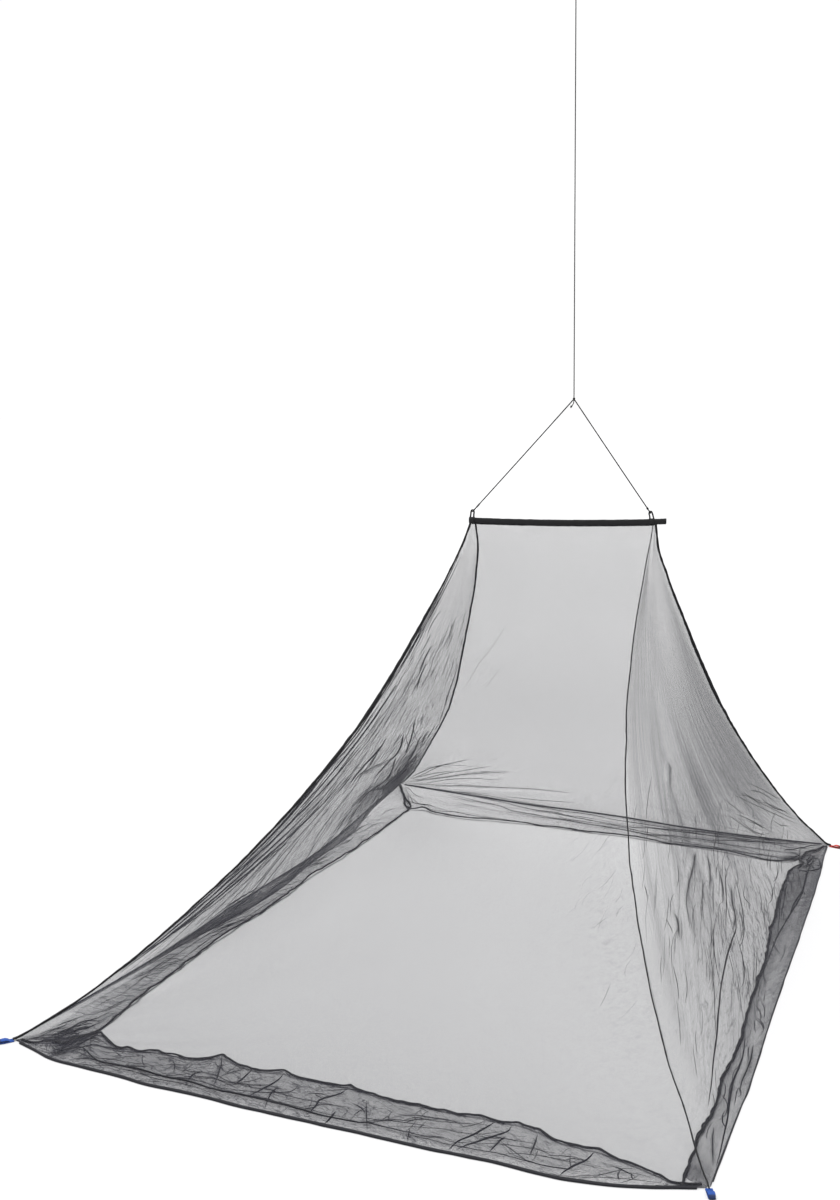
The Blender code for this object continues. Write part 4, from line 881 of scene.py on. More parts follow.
def netting_material(name, colour, streak, grain, vein=(26, 26, 0, 0.0), streak_low=0.2, least=0.19,
                     cover=COVER, most=0.96):
    """Sheer net: threads with holes between them, closing up as it is seen aslant or gathered, and where its density
    carries painted shade; thinner where it carries a painted sheen.
    """
    mat, nt, bsdf = new_material(name)
    out = nt.nodes["Material Output"]
    fac, mean, uv = thread_pattern(nt, 0.0016, 0.00016)
    # density by place: folds and hems, with painted shade and a painted sheen in it
    density = node(nt, "ShaderNodeAttribute", attribute_name="net_density_and_painted_light")
    coarse = node(nt, "ShaderNodeTexNoise")
    coarse.inputs["Scale"].default_value = 60.0
    coarse.inputs["Detail"].default_value = 3.0
    nt.links.new(uv.outputs["UV"], coarse.inputs["Vector"])
    fine = node(nt, "ShaderNodeTexNoise")
    fine.inputs["Scale"].default_value = 420.0
    fine.inputs["Detail"].default_value = 2.0
    fine.inputs["Roughness"].default_value = 0.7
    nt.links.new(uv.outputs["UV"], fine.inputs["Vector"])
    # threads drawn together run down the cloth in fine streaks
    split = node(nt, "ShaderNodeSeparateXYZ")
    nt.links.new(uv.outputs["UV"], split.inputs[0])
    lower = node(nt, "ShaderNodeMapRange", interpolation_type="SMOOTHSTEP")
    nt.links.new(split.outputs["Y"], lower.inputs["Value"])
    lower.inputs["From Min"].default_value = 0.45
    lower.inputs["From Max"].default_value = 1.05
    lower.inputs["To Min"].default_value = 1.0
    lower.inputs["To Max"].default_value = streak_low
    drawn = node(nt, "ShaderNodeMapping")
    drawn.inputs["Scale"].default_value = (230.0, 8.0, 1.0)
    nt.links.new(uv.outputs["UV"], drawn.inputs["Vector"])
    streaks = node(nt, "ShaderNodeTexNoise")
    streaks.inputs["Scale"].default_value = 1.0
    streaks.inputs["Detail"].default_value = 3.0
    streaks.inputs["Roughness"].default_value = 0.65
    streaks.inputs["Distortion"].default_value = 0.4
    nt.links.new(drawn.outputs[0], streaks.inputs["Vector"])
    mottle = maths(nt, "ADD",
                   maths(nt, "MULTIPLY", maths(nt, "SUBTRACT", coarse.outputs["Fac"], 0.5), grain * 0.9),
                   maths(nt, "MULTIPLY", maths(nt, "SUBTRACT", fine.outputs["Fac"], 0.5), grain * 2.0))
    mottle = maths(nt, "ADD", mottle,
                   maths(nt, "MULTIPLY", lower.outputs[0],
                         maths(nt, "MULTIPLY", maths(nt, "SUBTRACT", streaks.outputs["Fac"], 0.5), streak * 2.0)))
    # thin creases of crushed netting
    crush = node(nt, "ShaderNodeAttribute", attribute_name="crush")
    sx, sy, angle, strength = vein
    veins = 0.0
    for k in range(2):
        lay = node(nt, "ShaderNodeMapping")
        lay.inputs["Rotation"].default_value = (0, 0, math.radians(angle + (0 if k == 0 else 14)))
        spin = node(nt, "ShaderNodeMapping")
        spin.inputs["Scale"].default_value = (sx * (1 + 0.5 * k), sy * (1 + 0.5 * k), 1.0)
        spin.inputs["Location"].default_value = (3.7 * k, 1.9 * k, 0)
        nt.links.new(uv.outputs["UV"], lay.inputs["Vector"])
        nt.links.new(lay.outputs[0], spin.inputs["Vector"])
        cloud = node(nt, "ShaderNodeTexNoise")
        cloud.inputs["Scale"].default_value = 1.0
        cloud.inputs["Detail"].default_value = 1.5
        cloud.inputs["Distortion"].default_value = 0.8
        nt.links.new(spin.outputs[0], cloud.inputs["Vector"])
        off = maths(nt, "ABSOLUTE", maths(nt, "SUBTRACT", cloud.outputs["Fac"], 0.5))
        ridge = maths(nt, "SUBTRACT", 1.0, maths(nt, "MULTIPLY", off, 30.0), clamp=True)
        veins = maths(nt, "ADD", veins, ridge)
    # the creases come and go
    veins = maths(nt, "MULTIPLY", veins, maths(nt, "MULTIPLY", coarse.outputs["Fac"], 2.0))
    creased = maths(nt, "MULTIPLY", maths(nt, "MULTIPLY", veins, crush.outputs["Fac"]), strength)
    mottle = maths(nt, "ADD", mottle, maths(nt, "SUBTRACT", creased,
                                            maths(nt, "MULTIPLY", crush.outputs["Fac"], strength * 0.17)))
    a = maths(nt, "MULTIPLY", maths(nt, "MULTIPLY", density.outputs["Fac"], cover),
              maths(nt, "MAXIMUM", maths(nt, "ADD", mottle, 1.0), 0.25))
    facing = node(nt, "ShaderNodeLayerWeight")
    facing.inputs["Blend"].default_value = 0.5
    cosine = maths(nt, "MAXIMUM", maths(nt, "SUBTRACT", 1.0, facing.outputs["Facing"]), least)
    aslant = maths(nt, "MINIMUM", maths(nt, "DIVIDE", a, cosine), most)
    open_share = maths(nt, "MULTIPLY", maths(nt, "SUBTRACT", 1.0, maths(nt, "MINIMUM", a, most)),
                       maths(nt, "SUBTRACT", 1.0, aslant))
    covered = maths(nt, "SUBTRACT", 1.0, open_share, clamp=True)
    contrast = maths(nt, "MULTIPLY", 0.7, maths(nt, "MINIMUM", maths(nt, "DIVIDE", covered, mean),
                                                maths(nt, "DIVIDE", open_share, 1 - mean)))
    alpha = maths(nt, "ADD", covered, maths(nt, "MULTIPLY", maths(nt, "SUBTRACT", fac, mean), contrast), clamp=True)
    shade = node(nt, "ShaderNodeMix", data_type="RGBA")
    nt.links.new(coarse.outputs["Fac"], shade.inputs[0])
    shade.inputs[6].default_value = (*[c * 0.75 for c in colour], 1)
    shade.inputs[7].default_value = (*[c * 1.3 for c in colour], 1)
    nt.links.new(shade.outputs[2], bsdf.inputs["Base Color"])
    bsdf.inputs["Roughness"].default_value = 0.62
    bsdf.inputs["Specular IOR Level"].default_value = 0.25
    bump = node(nt, "ShaderNodeBump")
    bump.inputs["Strength"].default_value = 0.35
    bump.inputs["Distance"].default_value = 0.0002
    nt.links.new(fac, bump.inputs["Height"])
    nt.links.new(bump.outputs[0], bsdf.inputs["Normal"])
    nt.links.new(alpha, bsdf.inputs["Alpha"])
    nt.links.new(bsdf.outputs[0], out.inputs["Surface"])
    return mat


def woven_material(name, colour, scale, roughness=0.8, variation=0.25, strength=0.5, ribs=True,
                   sheen=0.0, dark_end=None):
    """Tape, webbing, sleeve or cord: ribs of yarn by the piece's own uv, in metres."""
    mat, nt, bsdf = new_material(name)
    uv = node(nt, "ShaderNodeUVMap", uv_map="cloth")
    warp = node(nt, "ShaderNodeTexWave", wave_type="BANDS", bands_direction="DIAGONAL" if ribs else "X")
    warp.inputs["Scale"].default_value = scale
    warp.inputs["Distortion"].default_value = 0.6
    warp.inputs["Detail"].default_value = 1.0
    nt.links.new(uv.outputs["UV"], warp.inputs["Vector"])
    weft = node(nt, "ShaderNodeTexWave", wave_type="BANDS", bands_direction="Y")
    weft.inputs["Scale"].default_value = scale * 0.7
    weft.inputs["Distortion"].default_value = 0.4
    nt.links.new(uv.outputs["UV"], weft.inputs["Vector"])
    weave = maths(nt, "MULTIPLY", maths(nt, "ADD", warp.outputs["Fac"], weft.outputs["Fac"]), 0.5)
    cloud = node(nt, "ShaderNodeTexNoise")
    cloud.inputs["Scale"].default_value = scale * 0.12
    cloud.inputs["Detail"].default_value = 4.0
    nt.links.new(uv.outputs["UV"], cloud.inputs["Vector"])
    level = maths(nt, "ADD", maths(nt, "MULTIPLY", weave, 0.55), maths(nt, "MULTIPLY", cloud.outputs["Fac"], 0.45))
    shade = node(nt, "ShaderNodeMix", data_type="RGBA")
    nt.links.new(level, shade.inputs[0])
    shade.inputs[6].default_value = (*[c * (1 - 2 * variation) for c in colour], 1)
    shade.inputs[7].default_value = (*[min(1, c * (1 + 2 * variation)) for c in colour], 1)
    last = shade.outputs[2]
    if dark_end is not None:
        start, end, tint = dark_end
        split = node(nt, "ShaderNodeSeparateXYZ")
        nt.links.new(uv.outputs["UV"], split.inputs[0])
        ramp = node(nt, "ShaderNodeMapRange", interpolation_type="SMOOTHSTEP")
        nt.links.new(split.outputs["Y"], ramp.inputs["Value"])
        ramp.inputs["From Min"].default_value = start
        ramp.inputs["From Max"].default_value = end
        tip = node(nt, "ShaderNodeMix", data_type="RGBA")
        nt.links.new(ramp.outputs[0], tip.inputs[0])
        nt.links.new(last, tip.inputs[6])
        tip.inputs[7].default_value = (*tint, 1)
        last = tip.outputs[2]
    nt.links.new(last, bsdf.inputs["Base Color"])
    rough = maths(nt, "ADD", maths(nt, "MULTIPLY", cloud.outputs["Fac"], 0.15), roughness - 0.08)
    nt.links.new(rough, bsdf.inputs["Roughness"])
    bsdf.inputs["Specular IOR Level"].default_value = 0.25
    if sheen:
        bsdf.inputs["Sheen Weight"].default_value = sheen
    bump = node(nt, "ShaderNodeBump")
    bump.inputs["Strength"].default_value = strength
    bump.inputs["Distance"].default_value = 0.0004
    nt.links.new(level, bump.inputs["Height"])
    nt.links.new(bump.outputs[0], bsdf.inputs["Normal"])
    return mat


THREAD = (0.016, 0.016, 0.023)
net = {
    "front_panel": netting_material("net_front", THREAD, 0.05, 0.18, (14, 50, 10, 1.3)),
    "right_panel": netting_material("net_right", THREAD, 0.10, 0.20, (46, 5, -62, 0.8), 0.1, 0.24),
    "back_panel": netting_material("net_back", THREAD, 0.06, 0.16, (6, 44, 0, 0.8)),
    "left_panel": netting_material("net_left", THREAD, 0.16, 0.26, (120, 8, 4, 2.0), 0.7, 0.31),
}
# the folds' netting has a darker thread colour than the walls': painted shade in the folds
net_pinched_painted_shade = netting_material("net_pinched_painted_shade", (0.007, 0.007, 0.010), 0.05, 0.40, cover=0.21, most=0.985)
hem_mat = woven_material("net_hem", (0.012, 0.012, 0.013), 1400, 0.8, 0.3, 0.6)
tape_mat = woven_material("hip_tape", (0.011, 0.011, 0.012), 1100, 0.8, 0.3, 0.6)
sleeve_mat = woven_material("sleeve_cloth", (0.011, 0.011, 0.012), 1500, 0.78, 0.30, 0.5)
thread_mat = woven_material("sewing_thread", (0.022, 0.022, 0.024), 3000, 0.6, 0.2, 0.3, ribs=False)
cord_mat = woven_material("cord_yarn", (0.012, 0.012, 0.013), 2600, 0.8, 0.3, 0.5)
blue_mat = woven_material("webbing_blue", (0.010, 0.060, 0.285), 1000, 0.7, 0.25, 0.9, sheen=0.05,
                          dark_end=(0.029, 0.036, (0.010, 0.022, 0.075)))
red_mat = woven_material("webbing_red", (0.40, 0.022, 0.014), 1000, 0.7, 0.25, 0.9, sheen=0.05,
                         dark_end=(0.029, 0.036, (0.11, 0.010, 0.008)))
stitch_blue = woven_material("thread_blue", (0.014, 0.080, 0.34), 3000, 0.6, 0.2, 0.3, ribs=False)
stitch_red = woven_material("thread_red", (0.46, 0.035, 0.022), 3000, 0.6, 0.2, 0.3, ribs=False)
black_web = woven_material("webbing_black", (0.012, 0.012, 0.013), 1300, 0.75, 0.3, 0.7)


# --------------------------------------------------------------------------
# netting panels with their skirts
# --------------------------------------------------------------------------
cloth = {}


def panel_grid(name):
    """Rows of the whole cloth, from the sleeve down the wall, round the fold and in to the hem."""
    start, end, a, b, along, out, length = panel_frame(name)
    n = COLUMNS[name]
    share = np.linspace(0, 1, n)
    share = share + 0.010 * np.sin(2 * math.pi * share) * -1.0
    # heights at even steps down the wall
    fine = np.linspace(UPPER_LAYER_Z, 1.19, 500)
    probe = wall(name, np.array((0.02, 0.5, 0.98))[:, None], fine[None, :])
    step = np.linalg.norm(np.diff(probe, axis=1), axis=-1).mean(0)
    run = np.concatenate([[0], np.cumsum(step)])
    want = np.linspace(1, 0, WALL_ROWS) ** 1.12 * run[-1]
    level = (np.interp(want, run, fine) - UPPER_LAYER_Z) / (1.19 - UPPER_LAYER_Z)
    top = top_height(name, share)
    z = UPPER_LAYER_Z + (top[:, None] - UPPER_LAYER_Z) * level[None, :]
    walls = wall(name, share[:, None], z)
    edge = columns(PANELS[name][2], share)
    outer, foot, inner = edge[:, 0], edge[:, 1], edge[:, 2]
    base = a + along * (inset(length, share) * length)[:, None] + CENTRE
    reach = outer - FOLD_R
    top_z = FLOOR_LAYER_Z + 2 * FOLD_R
    parts = [walls]
    k = np.linspace(0, 1, UPPER_ROWS + 1)[1:]
    p = base[:, None, :] + out * (foot[:, None] + (reach - foot)[:, None] * k)[..., None]
    p[..., 2] = UPPER_LAYER_Z + (top_z - UPPER_LAYER_Z) * k
    parts.append(p)
    ang = np.linspace(0, math.pi, TURN_ROWS + 1)[1:]
    p = base[:, None, :] + out * (reach[:, None] + FOLD_R * np.sin(ang))[..., None]
    p[..., 2] = FLOOR_LAYER_Z + FOLD_R + FOLD_R * np.cos(ang)
    parts.append(p)
    k = np.linspace(0, 1, SKIRT_ROWS + 1)[1:]
    p = base[:, None, :] + out * (reach[:, None] + (inner - reach)[:, None] * k)[..., None]
    p[..., 2] = FLOOR_LAYER_Z
    parts.append(p)
    return share, z, np.concatenate(parts, 1), edge, length, out, along


def route_on_wall(name, places):
    r = polyline(places, 0.01)
    return wall(name, np.clip(r[:, 0], 0, 1), np.clip(r[:, 1], UPPER_LAYER_Z, 1.17))


def skirt_place(name, share, k):
    start, end, a, b, along, out, length = panel_frame(name)
    edge = columns(PANELS[name][2], share)
    reach = edge[..., 0] - FOLD_R
    base = a + along * (inset(length, share) * length)[..., None] + CENTRE
    p = base + out * (reach + (edge[..., 2] - reach) * k)[..., None]
    p[..., 2] = FLOOR_LAYER_Z
    return p


def fan_noise(y, h, low, high, reach, height, count, seed):
    """Fine creases that run out of a corner, y along the floor and h up the wall from it."""
    noise, breaks = Noise(seed), Noise(seed + 1)
    r = np.hypot(y, h)
    phi = np.degrees(np.arctan2(h, y))
    turn_at = phi * count / 90.0
    n = 0.65 * sharp(noise(turn_at + 0.6 * breaks(r * 5, phi / 30), r * 1.6 + 7), 1.4)
    n += 0.35 * sharp(noise(turn_at * 2.3 + 40, r * 3.0), 1.3)
    n *= 0.55 + 0.45 * breaks(turn_at * 0.6, r * 4.0)
    across = smoothstep((phi - low) / 6.0) * smoothstep((high - phi) / 14.0)
    size = np.clip(r / 0.25, 0, 1) * np.exp(-(r / reach) ** 2 * 1.6)
    return height * n * across * size * 1.6


def build_panel(name):
    seed = SEEDS[name]
    share, z, p, edge, length, out, along = panel_grid(name)
    n, m = p.shape[:2]
    w = WALL_ROWS
    du, dv = np.gradient(p, axis=0), np.gradient(p, axis=1)
    normal = unit(np.cross(du, dv))
    normal *= np.sign((normal[:, :w] @ out).mean())
    # distance down the cloth and across it
    down = np.concatenate([np.zeros((n, 1)), np.cumsum(np.linalg.norm(np.diff(p, axis=1), axis=-1), 1)], 1)
    up_wall = down[:, w - 1:w] - down[:, :w]
    across = np.concatenate([np.zeros((1, m)), np.cumsum(np.linalg.norm(np.diff(p, axis=0), axis=-1), 0)], 0)
    to_edge = np.minimum(across, across[-1:] - across)
    s2 = np.broadcast_to(share[:, None], (n, w))
    zw = z
    d = np.zeros((n, w))
    dens = np.ones((n, m))
    # broad billow and upright fine folds
    billow = Noise(seed)
    d += 0.006 * billow(s2 * 5, zw * 3.5 + 3) * smoothstep(zw / 0.25)
    height, count, low, high = UPRIGHT[name]
    fold, mask = Noise(seed + 2), Noise(seed + 3)
    bend = 0.35 * mask(zw * 3, s2 * 4)
    f = 0.6 * sharp(fold((s2 + 0.02 * bend) * count, zw * 2.2), 1.3)
    f += 0.4 * sharp(fold((s2 + 0.02 * bend) * count * 2.1 + 50, zw * 4.5), 1.2)
    f *= 0.45 + 0.55 * np.clip(mask(s2 * 9 + 30, zw * 5) + 0.35, 0, 1)
    band = smoothstep((zw - low) / 0.15) * smoothstep((high - zw) / 0.20)
    d += height * f * band * 1.5
    for k, (at, a0, a1, reach, height, count) in enumerate(FANS[name]):
        y = np.abs(s2 - at) * length
        d += fan_noise(y, up_wall, a0, a1, reach, height, count, seed + 10 + 3 * k)
    for width, height, more, places in WALL_CREASES[name]:
        route = route_on_wall(name, places)
        dist, at = line_distance(p[:, :w], route)
        taper = np.sin(math.pi * np.clip(at, 0.02, 0.98)) ** 0.6
        hump = np.exp(-(dist / width) ** 2) * taper
        d += height * hump
        dens[:, :w] += more * np.exp(-(dist / (width * 0.75)) ** 2) * taper
    # gathers add density; below zero, and as a painted sheen at the front corner, it is taken away
    for s0, z0, ds, dz, more in WALL_GATHERS_AND_PAINTED_SHEEN[name]:
        dens[:, :w] += more * np.exp(-((s2 - s0) / ds) ** 2 - ((zw - z0) / dz) ** 2)
    # painted shade: the walls' density by height stands in for the netting's shadow on the floor
    dens[:, :w] += np.interp(zw, *zip(*WALL_DENSITY_AND_PAINTED_SHADE[name])) - 1
    fade = smoothstep(to_edge[:, :w] / 0.022) * smoothstep((down[:, :w]) / 0.03)
    d *= fade * smoothstep(zw / 0.02 - 0.2)
    p[:, :w] += normal[:, :w] * d[..., None]
    p[:, :w, 2] = np.maximum(p[:, :w, 2], UPPER_LAYER_Z)
    # skirt
    first = w + UPPER_ROWS + TURN_ROWS
    k = np.linspace(0, 1, SKIRT_ROWS + 1)[1:][None, :]
    sk = p[:, first:]
    flat = sk.copy()
    inward = (edge[:, 0] - edge[:, 2])[:, None] * k
    under = (edge[:, 0] - edge[:, 1])[:, None]
    room = 0.0034 + SKIRT_ROOM[name] * np.clip(inward - under, 0, 0.05)
    ripple, small = Noise(seed + 5), Noise(seed + 6)
    yy = (share * length)[:, None] + 0 * k
    along_rate, across_rate = SKIRT_RIPPLE[name]
    lift = 0.30 + 0.35 * ripple(yy * along_rate + 2 * small(yy * 4, inward * 12), inward * across_rate)
    lift += 0.30 * sharp(small(yy * along_rate * 2.4, inward * across_rate * 2.2), 1.3)
    height = room * np.clip(lift, 0, 1.3) * smoothstep(inward / 0.02)
    jut = np.zeros(n)
    for s0, ds, tall, juts in HEM_PEAKS[name]:
        bell = np.exp(-np.abs((share - s0) / ds) ** 1.4)
        height += (tall * bell)[:, None] * smoothstep((k - 0.55) / 0.45) ** 2
        jut += juts * bell
    wave = Noise(seed + 7)
    jut += (-0.013 if name == "front_panel" else 0.0) + 0.0022 * wave(share * length * 22, 0.5) + 0.0014 * wave(share * length * 55, 3.5)
    sk = sk - out * (jut * smoothstep(np.minimum(share, 1 - share) / 0.05))[:, None, None] * (k ** 3)[..., None]
    for width, h, more, places in SKIRT_CREASES[name]:
        r = polyline(places, 0.01)
        route = skirt_place(name, np.clip(r[:, 0], 0, 1), np.clip(r[:, 1], 0, 1))
        dist, at = line_distance(flat, route)
        taper = np.sin(math.pi * np.clip(at, 0.02, 0.98)) ** 0.6
        height += np.minimum(h, room) * np.exp(-(dist / width) ** 2) * taper
        dens[:, first:] += more * np.exp(-(dist / (width * 0.7)) ** 2) * taper
    height *= smoothstep(to_edge[:, first:] / 0.01)
    sk[..., 2] = FLOOR_LAYER_Z + height
    p[:, first:] = sk
    # skirt density, partly painted shade for the floor shadow that the netting does not cast
    inside, outside, line = SKIRT_DENSITY_AND_PAINTED_SHADE[name]
    wander = 0.05 * small(yy * 5, 9.0 + 0 * k)
    step = smoothstep((k - line - wander) / 0.06 + 0.5)
    dens[:, first:] *= (outside + (inside - outside) * step) * (SKIRT_SLOPE_AND_PAINTED_SHADE[name][0] + SKIRT_SLOPE_AND_PAINTED_SHADE[name][1] * share)[:, None]
    # the hem's last centimetre is doubled
    dens[:, first:] += 0.8 * np.exp(-((inward[:, -1:] - inward) / 0.007) ** 2)
    # bunches add density; below zero, and as a painted sheen at the front corner, it is taken away
    for s0, k0, ds, dk, more in SKIRT_GATHERS_AND_PAINTED_SHEEN[name]:
        dens[:, first:] += more * np.exp(-((yy / length - s0) / ds) ** 2 - ((k - k0) / dk) ** 2)
    dens[:, w:w + UPPER_ROWS] *= 0.35 if name == "back_panel" else 0.8
    # the outer fold is creased hard
    turn_rows = slice(w + UPPER_ROWS, first)
    dens[:, turn_rows] += 0.3 if name == "back_panel" else 1.2
    dens = np.clip(dens, 0.2, 6)
    # how crushed the netting is, by place
    crush = np.zeros((n, m))
    wall_crush, skirt_crush = CRUSH[name]
    for s0, z0, ds, dz, value in wall_crush:
        crush[:, :w] = np.maximum(crush[:, :w], value * np.exp(-((s2 - s0) / ds) ** 2 - ((zw - z0) / dz) ** 2))
    crush[:, w:] = skirt_crush
    crush *= smoothstep(to_edge / 0.015)
    # cloth lengths, for the weave
    down = np.concatenate([np.zeros((n, 1)), np.cumsum(np.linalg.norm(np.diff(p, axis=1), axis=-1), 1)], 1)
    uv = np.stack([(share * length)[:, None] + 0 * down, down], -1)
    faces = grid_faces(n, m)
    ob = mesh_object(name.replace("_panel", "_netting"), p.reshape(-1, 3), faces, net[name],
                     uv.reshape(-1, 2), [("net_density_and_painted_light", dens.reshape(-1)), ("crush", crush.reshape(-1))])
    cloth[name] = {"p": p, "share": share, "z": z, "edge": edge, "length": length, "out": out,
                   "along": along, "first": first, "normal": normal, "object": ob, "down": down}
    # the netting casts no shadow; its shade on the floor is painted into the density of its walls and skirts
    ob.visible_shadow = False
    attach(ob, "root")
    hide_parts(name)
    return ob


def on_wall(name, share, z):
    """Places on the finished wall, and the way out of it there."""
    c = cloth[name]
    col = np.interp(share, c["share"], np.arange(len(c["share"])))
    i = np.clip(col.astype(int), 0, len(c["share"]) - 2)
    t = (col - i)[:, None]
    pts, nor = [], []
    for q in (i, i + 1):
        rows = np.array([np.interp(-zz, -c["z"][ii], np.arange(WALL_ROWS)) for ii, zz in zip(q, z)])
        j = np.clip(rows.astype(int), 0, WALL_ROWS - 2)
        f = (rows - j)[:, None]
        pts.append(c["p"][q, j] * (1 - f) + c["p"][q, j + 1] * f)
        nor.append(c["normal"][q, j] * (1 - f) + c["normal"][q, j + 1] * f)
    return pts[0] * (1 - t) + pts[1] * t, unit(nor[0] * (1 - t) + nor[1] * t)


def on_skirt(name, share, k):
    c = cloth[name]
    col = np.interp(share, c["share"], np.arange(len(c["share"])))
    i = np.clip(col.astype(int), 0, len(c["share"]) - 2)
    t = (col - i)[:, None]
    rows = np.clip(k * SKIRT_ROWS - 1, 0, SKIRT_ROWS - 1.001)
    j = rows.astype(int)
    f = (rows - j)[:, None]
    sk = c["p"][:, c["first"]:]
    a = sk[i, j] * (1 - f) + sk[i, j + 1] * f
    b = sk[i + 1, j] * (1 - f) + sk[i + 1, j + 1] * f
    return a * (1 - t) + b * t, np.tile((0.0, 0.0, 1.0), (len(share), 1))


def pleat_strip(builder, path, normal, width, density, seed, lift=0.0012):
    """A narrow fold pressed over: cloth goes out over itself and comes back, tapering at both ends."""
    q = resample(path, 0.009)
    s0 = np.concatenate([[0], np.cumsum(np.linalg.norm(np.diff(path, axis=0), axis=1))])
    s1 = np.concatenate([[0], np.cumsum(np.linalg.norm(np.diff(q, axis=0), axis=1))])
    nn = unit(np.stack([np.interp(s1, s0, normal[:, c]) for c in range(3)], -1))
    t = unit(np.gradient(q, axis=0))
    side = unit(np.cross(t, nn))
    x = s1 / s1[-1]
    rng = Noise(seed)
    taper = np.clip(np.sin(math.pi * np.clip(x, 0.001, 0.999)), 0, 1) ** 0.45
    wide = width * taper * (1 + 0.25 * rng(s1 * 30, 0.5))
    up = lift * taper * (1 + 0.3 * rng(s1 * 22, 8.5))
    q = q + side * (0.0012 * rng(s1 * 14, 3.0))[:, None]
    profile = ((-0.50, 0.15), (-0.15, 0.75), (0.30, 1.05), (0.50, 0.80), (0.32, 0.45), (-0.05, 0.30))
    rows = [q + side * (wide * a)[:, None] + nn * (0.0003 + up * b)[:, None] for a, b in profile]
    p = np.stack(rows, 1)
    uv = np.stack([np.stack([s1, 0.1 + width * k * np.ones_like(s1)], -1) for k in range(len(profile))], 1)
    builder.grid(p, uv, np.full(p.shape[:2], density))


def fine_strip(builder, path, normal, width, density, seed, lift=0.0008):
    """A short pinched wrinkle."""
    q = resample(path, 0.006)
    s0 = np.concatenate([[0], np.cumsum(np.linalg.norm(np.diff(path, axis=0), axis=1))])
    s1 = np.linspace(0, s0[-1], len(q))
    nn = unit(np.stack([np.interp(s1, s0, normal[:, c]) for c in range(3)], -1))
    t = unit(np.gradient(q, axis=0))
    side = unit(np.cross(t, nn))
    x = s1 / s1[-1]
    rng = Noise(seed)
    taper = np.sin(math.pi * np.clip(x, 0.001, 0.999)) ** 0.6
    wide = width * taper * (1 + 0.3 * rng(s1 * 60, 0.5))
    up = lift * taper
    q = q + side * (0.0006 * rng(s1 * 45, 3.0))[:, None]
    rows = [q + side * (wide * a)[:, None] + nn * (0.0003 + up * b)[:, None]
            for a, b in ((-0.5, 0.1), (-0.1, 0.9), (0.45, 0.8), (0.25, 0.2))]
    p = np.stack(rows, 1)
    uv = np.stack([np.stack([s1, 0.1 + width * k * np.ones_like(s1)], -1) for k in range(4)], 1)
    builder.grid(p, uv, np.full(p.shape[:2], density))


def strew(builder, name, areas, place, finish, low, high, seed, stand):
    """Pinched wrinkles at seeded places; place gives a surface point, finish the finished surface."""
    pick = np.random.RandomState(seed)
    for s0, s1, v0, v1, count, long, lean, spread, width, density in areas:
        for _ in range(count):
            s, v = pick.uniform(s0, s1), pick.uniform(v0, v1)
            size = long * pick.uniform(0.45, 1.35)
            ang = math.radians(lean + spread * pick.normal() * 0.7)
            bend = size * pick.uniform(-0.16, 0.16)
            wide = width * pick.uniform(0.75, 1.3)
            dens = density * pick.uniform(0.5, 1.5)
            a = place(name, np.array((s, s + 0.002, s)), np.array((v, v, v + 0.004)))
            ps, pv = max(np.linalg.norm(a[1] - a[0]) / 0.002, 0.2), np.linalg.norm(a[2] - a[0]) / 0.004
            t = np.linspace(-0.5, 0.5, 7)
            across = size * t * math.sin(ang) + bend * (1 - 4 * t * t) * math.cos(ang)
            down = size * t * math.cos(ang) - bend * (1 - 4 * t * t) * math.sin(ang)
            ss, vv = s + across / ps, v + down / pv
            if ss.min() < 0.004 or ss.max() > 0.996 or vv.min() < low or vv.max() > high:
                continue
            path, normal = finish(name, ss, vv)
            if np.abs(np.diff(path, axis=0)).max() < 1e-5:
                continue
            fine_strip(builder, path, normal, wide, dens, int(pick.randint(1, 9999)),
                       stand * pick.uniform(0.5, 1.2))


def build_pleats(name):
    """The hard folds of one panel, as one piece of netting whose thread is darker than the walls' as painted shade."""
    b = Builder()
    seed = SEEDS[name] + 100
    for width, density, places in WALL_PLEATS[name]:
        r = polyline(places, 0.01)
        path, normal = on_wall(name, np.clip(r[:, 0], 0.001, 0.999), np.clip(r[:, 1], 0.008, 1.16))
        pleat_strip(b, path, normal, width, density, seed, STAND[name][0])
        seed += 1
    for width, density, places in SKIRT_PLEATS[name]:
        r = polyline(places, 0.01)
        path, normal = on_skirt(name, np.clip(r[:, 0], 0.001, 0.999), np.clip(r[:, 1], 0.0, 1.0))
        # the long foot line and the gathered corner stand up more than the rest
        rise, more = 1.0, 0.0
        if width > 0.009:
            rise = 2.2
        elif name == "right_panel" and places[0][0] > 0.86:
            rise, more = 1.8, 3.0
        elif name == "back_panel" and places[0][0] > 0.90:
            rise, more = 1.5, 2.0
        pleat_strip(b, path, normal, width, density + more, seed, STAND[name][1] * rise)
        seed += 1
    edge_line(b, name)
    strew(b, name, WALL_WRINKLES[name], wall, on_wall, 0.010, 1.15, seed + 50, STAND[name][0] * 0.5)
    strew(b, name, SKIRT_WRINKLES[name], skirt_place, on_skirt, 0.0, 1.0, seed + 90, STAND[name][1] * 0.7)
    ob = b.make(name.replace("_panel", "_folds"), net_pinched_painted_shade, "net_density_and_painted_light")
    ob.visible_shadow = False
    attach(ob, "root")
    return ob


HEM_HIGH = {"front_panel": 0.0046, "right_panel": 0.0044, "back_panel": 0.0044, "left_panel": 0.0046}
HEM_WIDE = {"front_panel": 0.0062, "right_panel": 0.0070, "back_panel": 0.0078, "left_panel": 0.0064}


# the creased outer fold: width and density of its line
EDGE_LINE = {"front_panel": (0.0090, 8.0), "right_panel": (0.0034, 3.4), "back_panel": (0.0052, 8.0),
             "left_panel": (0.0030, 3.0)}


